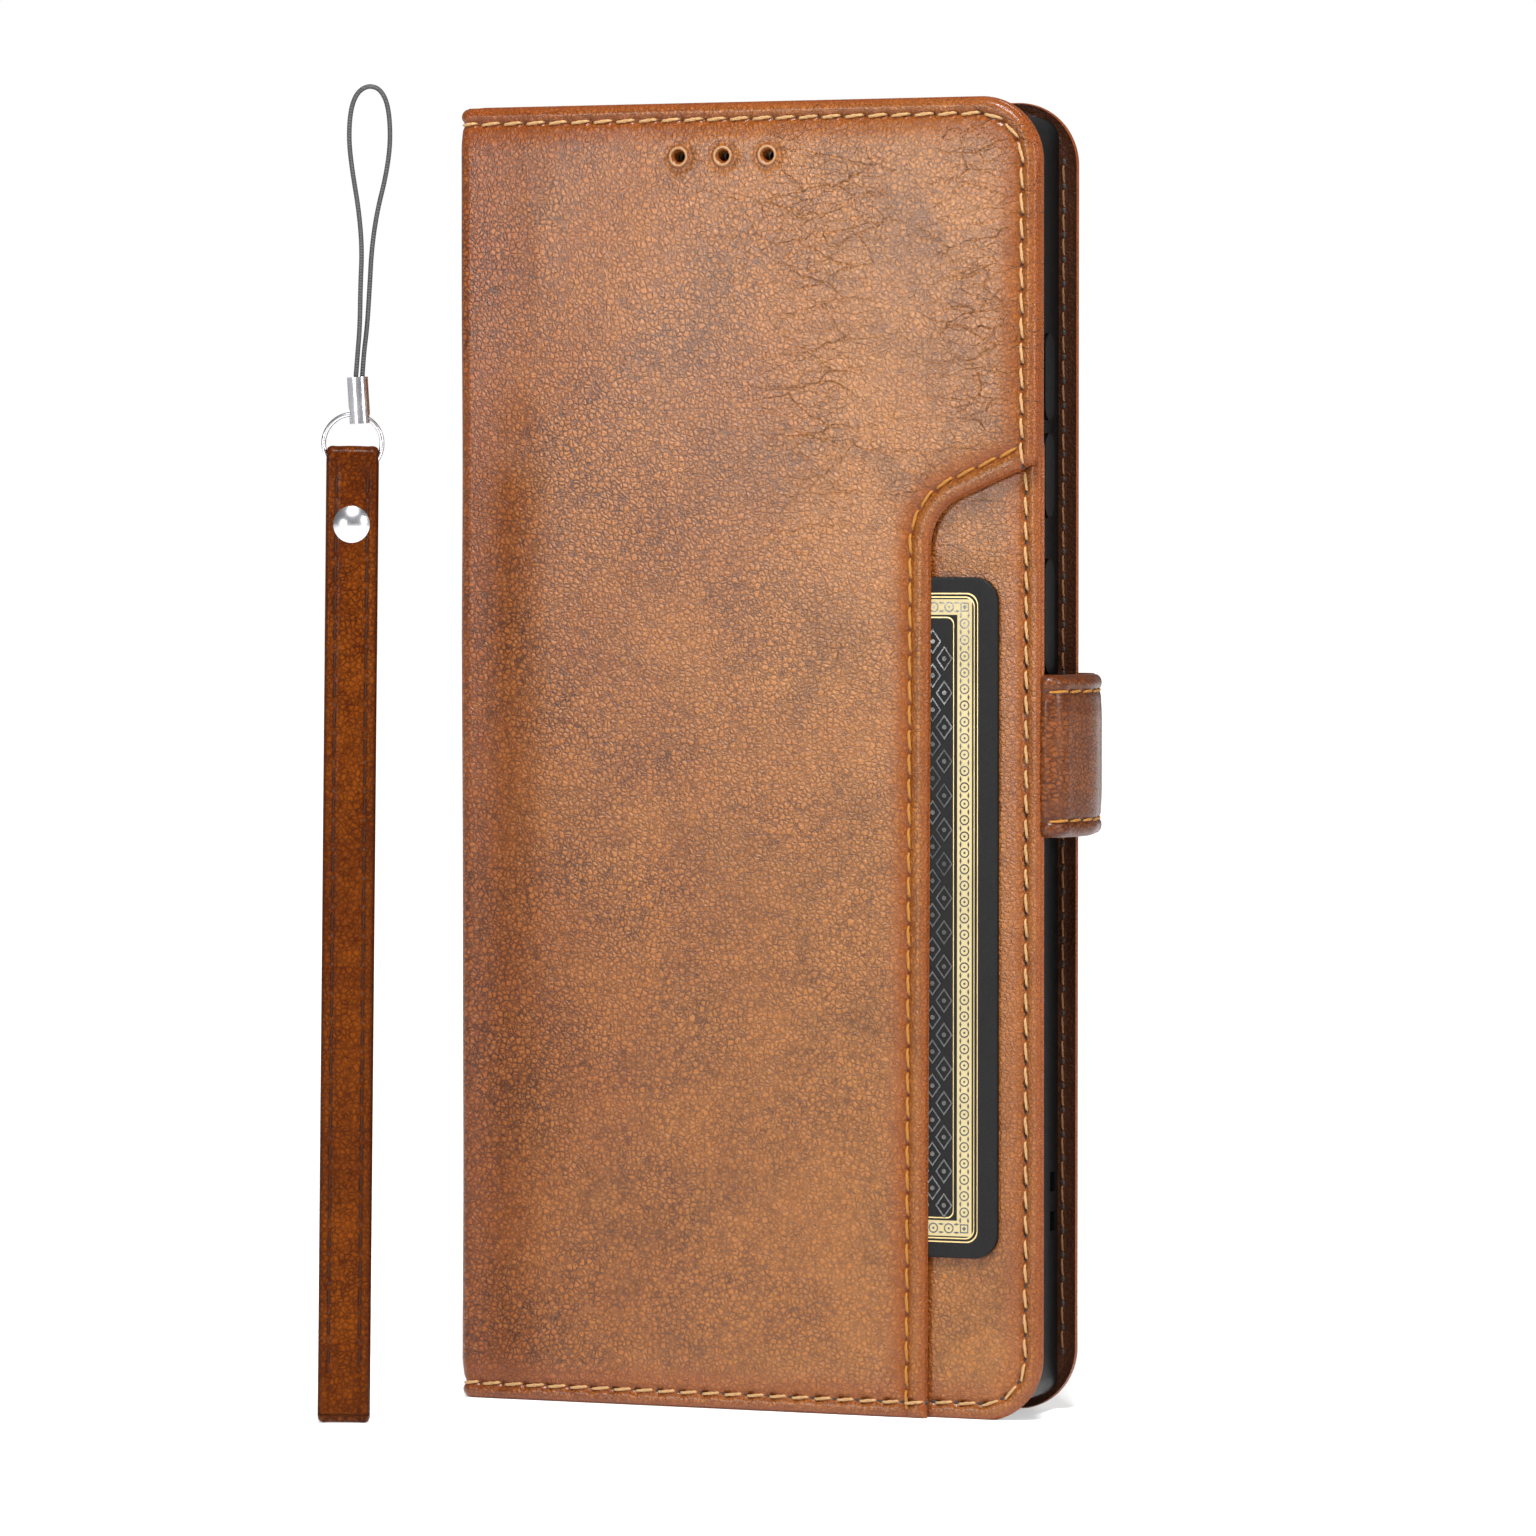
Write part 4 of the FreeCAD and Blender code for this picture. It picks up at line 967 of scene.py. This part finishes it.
# ---- linings and the leaves inside the front cover ----
def lining_corners(node, facing, right_r, inset=0.0):
    low, high = mm_box(node)
    low[2], high[0], high[2] = low[2] + inset, high[0] - inset, high[2] - inset
    if facing < 0:
        return rectangle(low[0], high[0], low[2], high[2], 0, right_r)
    return rectangle(-high[0], -low[0], low[2], high[2], right_r, 0)


def soft_sheet(name, node, facing, corners, holes=(), groove=None, body="front_cover"):
    """Lining or leaf that stands for a CAD sheet: facing -1 looks to -Y and 1 to +Y."""
    low, high = mm_box(node)
    thick = high[1] - low[1]
    border = looped(outline(corners, 0.6))

    def rise(p):
        d = distance(p, border)
        h = -0.5 * thick * (1 - smooth(0, 0.5, d)) + 0.03 * np.sin(p[:, 0] / 7.7) * np.sin(p[:, 1] / 11.3)
        if groove is not None:
            h = h - 0.09 * bell(groove(p), 0.3)
        return h - 0.03
    place = flat_front(low[1]) if facing < 0 else flat_back(high[1])
    piece = panel(name, corners, rise, place, level(-thick), [BROWN], holes=holes,
                  rings=(0.12, 0.3, 0.55, 0.9, 1.15, 1.3, 1.6, 2.2), fine=0.9, coarse=3.0, bulge=0.02,
                  edge=lambda p: bell(distance(p, border), 0.5), wall_rows=2)
    dress(piece, body, [node])


def mirrored_holes():
    return [round_hole(-x, z, HOLE_R) for x, z in HOLES]


soft_sheet("front_lining_sheet", "front_lining", 1, lining_corners("front_lining", 1, 7.4), mirrored_holes())
soft_sheet("money_pocket_leaf", "money_pocket", 1, lining_corners("money_pocket", 1, 6.0), mirrored_holes(),
           groove=lambda p: np.abs(p[:, 0] - 31.6))
for number in (1, 2, 3):
    leaf = "card_slot_%d" % number
    (leaf_x0, _, leaf_z0), (leaf_x1, _, leaf_z1) = mm_box(leaf)
    leaf_corners = [(-leaf_x1, leaf_z0, 6.0)] + rectangle(-leaf_x1, -leaf_x0, leaf_z0, leaf_z1)[1:]
    soft_sheet(leaf + "_leaf", leaf, 1, leaf_corners, groove=lambda p, top=leaf_z1: np.abs(top - 1.3 - p[:, 1]))
soft_sheet("back_lining_sheet", "back_lining", -1, lining_corners("back_lining", -1, 6.9, 0.5),
           [rectangle(X0, X1, Z0, Z1, WINDOW_R, WINDOW_R)], body="case_back")


def spine_lining_sheet():
    low, high = SPINE_LINING_LOW, SPINE_LINING_HIGH
    corners = rectangle(low[1], high[1], low[2], high[2])
    middle = (low[1] + high[1]) / 2
    groove = 4.6                 # from the middle

    def place(s, z, out):
        return np.stack([high[0] + out, s, z], -1)

    def rise(p):
        return -0.02 - 0.06 * bell(np.abs(p[:, 0] - middle) - groove, 0.3)

    piece = panel("spine_lining_sheet", corners, rise, place, level(-0.3), [BROWN], rings=(0.2, 0.6, 1.2, 1.5, 2.0),
                  fine=0.9, coarse=2.0, wall_rows=2, bulge=0)
    dress(piece, "spine", ["spine_lining"])


spine_lining_sheet()


def inner_stitches():
    """Rows sewn through the leaves inside the front cover, and the row that shows beside the tray."""
    slot_faces = [(mm_box("card_slot_%d" % n)[1][2], mm_box("card_slot_%d" % n)[1][1]) for n in (1, 2, 3)]
    leaf_low, leaf_high = mm_box("money_pocket")
    lining_y = mm_box("front_lining")[1][1]
    foot = mm_box("card_slot_1")[0][2]

    def rise(p):
        h = np.where((p[:, 1] > leaf_low[2]) & (p[:, 1] < leaf_high[2]), leaf_high[1], lining_y)
        for top, face in slot_faces:
            h = np.where((p[:, 1] < top) & (p[:, 1] > foot), face, h)
        return h - 0.05

    side = outline([(-RIGHT + SEAM, HEIGHT - 9, 0), (-RIGHT + SEAM, 9, 0)], 0.5, closed=False)
    piece = sew("inner_stitches", [(side, rise, flat_back(0.0))], [THREAD, NEEDLE_HOLE_SHADE])
    dress(piece, "front_cover")
    lining_front = mm_box("back_lining")[0][1]
    row = outline([(RIGHT - 1.62, 7.5, 0), (RIGHT - 1.62, HEIGHT - 7.5, 0)], 0.5, closed=False)
    piece = sew("back_lining_stitches", [(row, level(-0.02), flat_front(lining_front))],
                [LINING_THREAD, NEEDLE_HOLE_SHADE], radius=0.15, slant=3)
    dress(piece, "case_back")


inner_stitches()


# ---- payment card ----
def framed(inset_x, inset_z, radius):
    return rectangle(CARD_LOW[0] + inset_x, CARD_HIGH[0] - inset_x, CARD_LOW[2] + inset_z, CARD_HIGH[2] - inset_z,
                     radius, radius)


class Inlay:
    """Thin prints and embossings gathered into one mesh on the card's face."""

    def __init__(self):
        self.verts, self.faces, self.slots = [], [], []

    def prism(self, loop, height, slot, hole=None):
        """Raised flat shape; with a hole it is the strip between two loops of equally many points."""
        base = len(self.verts)
        n = len(loop)
        lows = [(x, 0.02, z) for x, z in loop]
        tops = [(x, -height, z) for x, z in loop]
        self.verts += lows + tops
        for i in range(n):
            j = (i + 1) % n
            self.faces.append([base + i, base + j, base + n + j, base + n + i])
            self.slots.append(slot)
        if hole is None:
            self.faces.append([base + n + i for i in range(n)])
            self.slots.append(slot)
            return
        more = len(self.verts)
        self.verts += [(x, -height, z) for x, z in hole] + [(x, 0.02, z) for x, z in hole]
        for i in range(n):
            j = (i + 1) % n
            self.faces.append([base + n + i, base + n + j, more + j, more + i])
            self.faces.append([more + i, more + j, more + n + j, more + n + i])
            self.slots += [slot, slot]

    def piece(self, name, materials):
        verts = np.array(self.verts)
        verts[:, 1] += CARD_LOW[1]
        piece = make_mesh(name, verts, self.faces, verts, np.zeros(len(verts)), self.slots, materials, 30)
        dress(piece, "card")


def circle(x, z, r, n=14, start=0.0):
    return [(x + r * math.cos(start + 2 * math.pi * k / n), z + r * math.sin(start + 2 * math.pi * k / n))
            for k in range(n)]


def card():
    border = looped(outline(CARD, 0.5))
    body = panel("card_body", CARD, lambda p: -0.12 * (1 - smooth(0, 0.25, distance(p, border))),
                 flat_front(CARD_LOW[1]), level(-0.8), [CARD_BLACK], rings=(0.08, 0.16, 0.26, 0.6),
                 fine=0.8, coarse=5.0, bulge=0.05)
    dress(body, "card", ["payment_card"])
    foil = Inlay()
    for outer_x, outer_z, radius, wide in ((2.55, 1.95, 1.5, 0.17), (3.0, 2.4, 1.2, 0.09), (5.75, 4.95, 0.9, 0.17)):
        a = outline(framed(outer_x, outer_z, radius), 200, arc_spacing=0.15)
        b = outline(framed(outer_x, outer_z, radius), 200, wide, arc_spacing=0.15)
        if len(a) != len(b):
            b = a + (np.array([[(CARD_LOW[0] + CARD_HIGH[0]) / 2, (CARD_LOW[2] + CARD_HIGH[2]) / 2]]) - a) * 0.004
        foil.prism([tuple(v) for v in a], 0.02, 0, [tuple(v) for v in b])
    foil.piece("card_foil_lines", [FOIL_GOLD])
    band_x, band_z, band_w = 3.35, 2.75, 1.95
    band = Inlay()
    outer = [(x, z) for x, z, _ in framed(band_x, band_z, 0)]
    inner = [(x, z) for x, z, _ in framed(band_x + band_w, band_z + band_w, 0)]
    band.prism(outer, 0.016, 0, inner)
    cx0, cx1 = CARD_LOW[0] + band_x + band_w / 2, CARD_HIGH[0] - band_x - band_w / 2
    cz0, cz1 = CARD_LOW[2] + band_z + band_w / 2, CARD_HIGH[2] - band_z - band_w / 2
    corners = [(cx0, cz0), (cx1, cz0), (cx1, cz1), (cx0, cz1)]
    for (xa, za), (xb, zb) in zip(corners, corners[1:] + corners[:1]):
        run = math.hypot(xb - xa, zb - za)
        count = round(run / 2.05)
        ux, uz = (xb - xa) / run, (zb - za) / run
        for k in range(count):
            x, z = xa + ux * run * k / count, za + uz * run * k / count
            if k:
                band.prism(circle(x, z, 0.66), 0.03, 1, circle(x, z, 0.48))
                band.prism(circle(x, z, 0.16, 8), 0.03, 1)
            else:
                band.prism(circle(x, z, 0.8, 4, math.pi / 4), 0.03, 1, circle(x, z, 0.58, 4, math.pi / 4))
                band.prism(circle(x, z, 0.3, 4), 0.03, 1)
            mx, mz = x + ux * run / count / 2, z + uz * run / count / 2
            for side in (-1, 1):
                px, pz = mx - uz * side * 0.52, mz + ux * side * 0.52
                band.prism([(px + ux * 0.42, pz + uz * 0.42), (px - uz * 0.15 * side, pz + ux * 0.15 * side),
                            (px - ux * 0.42, pz - uz * 0.42), (px + uz * 0.15 * side, pz - ux * 0.15 * side)][::side],
                           0.03, 1)
    band.piece("card_border_band", [BAND_CREAM, RELIEF_BLACK])
    relief = Inlay()
    pitch_x, pitch_z = 3.1, 4.3
    x_low, x_high = CARD_LOW[0] + 7.2, CARD_HIGH[0] - 7.0
    z_low, z_high = CARD_LOW[2] + 6.6, CARD_HIGH[2] - 6.6
    for j, z in enumerate(np.arange(z_low, z_high, pitch_z / 2)):
        for x in np.arange(x_high - (j % 2) * pitch_x / 2, x_low, -pitch_x):
            relief.prism([(x + 1.15, z), (x, z + 1.6), (x - 1.15, z), (x, z - 1.6)], 0.11, 0,
                         [(x + 0.9, z), (x, z + 1.25), (x - 0.9, z), (x, z - 1.25)])
            relief.prism(circle(x, z, 0.32, 8), 0.12, 0)
    relief.piece("card_relief", [RELIEF_BLACK])


card()


# ---- clasp strap ----
CLASP_LOW, CLASP_HIGH = SIDE_LOW[2], SIDE_HIGH[2]
CLASP_T = 1.8
BEND_R = 1.9
START_X, START_Y = SIDE_LOW[0], SIDE_LOW[1] + CLASP_T / 2
SIDE_END_Y = SIDE_HIGH[1]
BEND_ARC = BEND_R * math.pi / 2
SIDE_RUN = SIDE_END_Y - (START_Y + BEND_R)
TAIL_RUN = START_X - TAIL_LOW[0]
CLASP_MID = BEND_ARC + SIDE_RUN / 2
CLASP_LENGTH = 2 * BEND_ARC + SIDE_RUN + TAIL_RUN
ROOT = 11.5


def place_clasp(s, z, out):
    """Out of the front cover's edge, round the side and onto the back; s runs along the strap's middle."""
    first = np.clip(s / BEND_R, 0, math.pi / 2)
    second = np.clip((s - BEND_ARC - SIDE_RUN) / BEND_R, 0, math.pi / 2)
    side = np.clip(s - BEND_ARC, 0, SIDE_RUN)
    before = np.minimum(s, 0)
    after = np.maximum(s - 2 * BEND_ARC - SIDE_RUN, 0)
    angle = first + second
    x = START_X + before + BEND_R * np.sin(first) - BEND_R * (1 - np.cos(second)) - after
    y = START_Y + BEND_R * (1 - np.cos(first)) + side + BEND_R * np.sin(second)
    thin = 1 - 0.58 * smooth(0.5, -0.4, s)
    out = out * thin + 1.2 * np.sin(math.pi * np.clip((s - 0.5 * BEND_ARC) / (SIDE_RUN + BEND_ARC), 0, 1)) ** 2
    return np.stack([x + out * np.sin(angle), y - out * np.cos(angle), z], -1)


CLASP_END_R = (CLASP_HIGH - CLASP_LOW) / 2 - 1
CLASP_ROW = outline(rectangle(0.4, CLASP_LENGTH - 2, CLASP_LOW + SEAM, CLASP_HIGH - SEAM, 0, CLASP_END_R - SEAM),
                    0.3, closed=False)
CLASP_SPOTS = hole_spots(CLASP_ROW)
CLASP_EDGE = guide_line(rectangle(-ROOT, CLASP_LENGTH, CLASP_LOW, CLASP_HIGH, 0, CLASP_END_R))


def clasp_rise(p):
    d = distance(p, CLASP_EDGE)
    away = distance(p, CLASP_ROW)
    h = 0.9 - 0.78 * rounded(d, 0.85)
    h += 0.1 * bell(d - 1.15, 0.6) - 0.2 * bell(away, 0.38) - 0.12 * bell(nearest(p, CLASP_SPOTS), 0.45)
    magnet = np.hypot(p[:, 0] - (CLASP_LENGTH - 11.0), p[:, 1] - (CLASP_LOW + CLASP_HIGH) / 2)
    return h + 0.12 * smooth(2.6, 5.5, d) + 0.08 * smooth(6.6, 5.9, magnet)


def clasp_back(p):
    return -0.88 + 0.6 * rounded(distance(p, CLASP_EDGE), 0.7)


def clasp():
    shade = edge_shade(CLASP_EDGE, [CLASP_ROW])
    rings = (0.08, 0.22, 0.42, 0.7, 1.05, 1.4, 1.68, 1.86, 2.0, 2.14, 2.32, 2.7, 3.4)
    side = rectangle(-ROOT, CLASP_MID, CLASP_LOW, CLASP_HIGH)
    tail = rectangle(CLASP_MID, CLASP_LENGTH, CLASP_LOW, CLASP_HIGH, 0, CLASP_END_R)
    first = (Vector((START_X, START_Y, 0)) * MM, Vector((START_X + BEND_R, START_Y + BEND_R, 0)) * MM)
    second = (Vector((START_X + BEND_R, SIDE_END_Y, 0)) * MM, Vector((START_X, SIDE_END_Y + BEND_R, 0)) * MM)
    on_side = CLASP_ROW[:, 0] < CLASP_MID
    runs = np.split(CLASP_ROW, np.where(np.diff(on_side.astype(int)) != 0)[0] + 1)
    halves = (("clasp_side", side, ("clasp_side_outer", "clasp_side_inner", "clasp_root_tab"), (-0.4, CLASP_MID),
               [r for r in runs if r[:, 0].mean() < CLASP_MID], ("front_cover", "clasp_side", *first)),
              ("clasp_tail", tail, ("clasp_tail_outer", "clasp_tail_inner"),
               (CLASP_MID, 2 * BEND_ARC + SIDE_RUN + 0.4),
               [r for r in runs if r[:, 0].mean() >= CLASP_MID], ("clasp_side", "clasp_tail", *second)))
    for name, corners, nodes, bend, lines, fold in halves:
        strap = panel(name + "_strap", corners, clasp_rise, place_clasp, clasp_back, [CLASP_TAN, BROWN], rings=rings,
                      fine=0.4, coarse=0.9, edge=shade, bulge=0.12, wall_rows=4, bend=bend,
                      keep_wall=lambda m: abs(m[0] - CLASP_MID) > 0.01)
        threads = sew(name + "_stitches", [(line, clasp_rise, place_clasp) for line in lines],
                      [GOLD_THREAD, NEEDLE_HOLE_SHADE], radius=0.17, slant=4)
        dress(strap, stands_for=nodes)
        dress(threads)
        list(fold)
        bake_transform(strap)
        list(fold)
        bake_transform(threads)



clasp()


# ---- lanyard strap ----
STRAP_TOP = 122.4
STRAP_PLY, STRAP_GAP = 0.8, 0.8
LOOP_R = (STRAP_GAP + STRAP_PLY) / 2
LOOP_LOW, LOOP_HIGH = STRAP_GAP / 2 + STRAP_PLY, STRAP_TOP - STRAP_GAP / 2 - STRAP_PLY
LOOP_RUN = LOOP_HIGH - LOOP_LOW


def place_strap(s, w, out):
    """Round the folded loop: s from 0 is up the front ply, over the top, down the back ply and round the foot."""
    turn = LOOP_R * math.pi
    over = np.clip((s - LOOP_RUN) / LOOP_R, 0, math.pi)
    under = np.clip((s - 2 * LOOP_RUN - turn) / LOOP_R, 0, math.pi)
    up = np.clip(s, 0, LOOP_RUN)
    down = np.clip(s - LOOP_RUN - turn, 0, LOOP_RUN)
    angle = over + under
    r = LOOP_R + out
    z = LOOP_LOW + up - down + np.where(over > 0, np.where(down > 0, 0, r * np.sin(over)), 0) - r * np.sin(under)
    v = -r * np.cos(angle)
    flat = np.stack([w, v, z, np.ones_like(z)], -1)
    return (flat @ np.array(LANYARD).T)[..., :3]


def lanyard_strap():
    half = STRAP_HALF_W
    row_w = half - 1.3
    lines = [np.stack([np.linspace(5.5, LOOP_RUN - 2.0, 400), np.full(400, w)], -1) for w in (-row_w, row_w)]
    back_start = LOOP_RUN + LOOP_R * math.pi
    lines += [line + [back_start - 3.5, 0] for line in lines]
    spots = np.vstack([hole_spots(line, 3.6) for line in lines])

    def rise(p):
        w = np.abs(p[:, 1])
        h = STRAP_PLY / 2 - 0.55 * rounded(half - w, 0.7)
        away = np.min([distance(p, line[[0, -1]]) for line in lines], 0)
        h -= 0.2 * bell(away, 0.3) + 0.1 * bell(nearest(p, spots), 0.5)
        return h + 0.05 * bell(half - w - 0.75, 0.35) + 0.03 * np.sin(p[:, 0] / 3.1) * np.cos(p[:, 1] * 1.3)

    straight = np.arange(0, LOOP_RUN, 0.6)
    turn = np.linspace(0, LOOP_R * math.pi, 13)[:-1]
    run = np.concatenate([straight, LOOP_RUN + turn, LOOP_RUN + LOOP_R * math.pi + straight,
                          2 * LOOP_RUN + LOOP_R * math.pi + turn])
    outer_w = np.array([0, 0.1, 0.25, 0.45, 0.7, 0.95, 1.12, 1.3, 1.48, 1.7, 2.1, 2.7]) - half
    outer_w = np.concatenate([outer_w, -outer_w[::-1]])
    inner_w = np.array([half - 0.15, half * 0.5, 0, -half * 0.5, -half + 0.15])
    verts, tex, edges = [], [], []
    for s in run:
        p = np.column_stack([np.full(len(outer_w), s), outer_w])
        out = np.concatenate([rise(p), np.full(len(inner_w), -STRAP_PLY / 2 + 0.02)])
        w = np.concatenate([outer_w, inner_w])
        verts.append(place_strap(np.full(len(w), s), w, out))
        tex.append(np.column_stack([w, np.full(len(w), s), out]))
        edges.append(np.clip(bell(half - np.abs(w), 0.45) + 0.6 * bell(np.abs(w) - row_w, 0.3), 0, 1))
    faces = tube_faces(0, len(run), len(outer_w) + len(inner_w), wrap=True)
    piece = make_mesh("lanyard_strap_loop", np.vstack(verts), faces, np.vstack(tex), np.concatenate(edges),
                      [0] * len(faces), [STRAP], 60)
    dress(piece, "lanyard_strap", ["wrist_strap"])
    piece = sew("lanyard_strap_stitches", [(line, rise, place_strap) for line in lines], [DARK_THREAD, NEEDLE_HOLE_SHADE],
                pitch=3.6, length=2.7, radius=0.17, slant=2, lift=0.02)
    dress(piece, "lanyard_strap")


lanyard_strap()


# ---- CAD nodes that are shown as they are ----
NODE_LOOKS = {"phone_shell": SHELL_BLACK, "volume_up_button": SHELL_BLACK, "volume_down_button": SHELL_BLACK,
              "power_button": SHELL_BLACK, "front_board": PAPER_BOARD, "spine_board": PAPER_BOARD,
              "back_board": PAPER_BOARD, "catch_disc": STEEL, "clasp_magnet": STEEL, "rivet": CHROME,
              "split_ring": CHROME, "crimp_tube": CHROME}
for node, look in NODE_LOOKS.items():
    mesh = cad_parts[node].data
    mesh.materials.clear()
    mesh.materials.append(look)
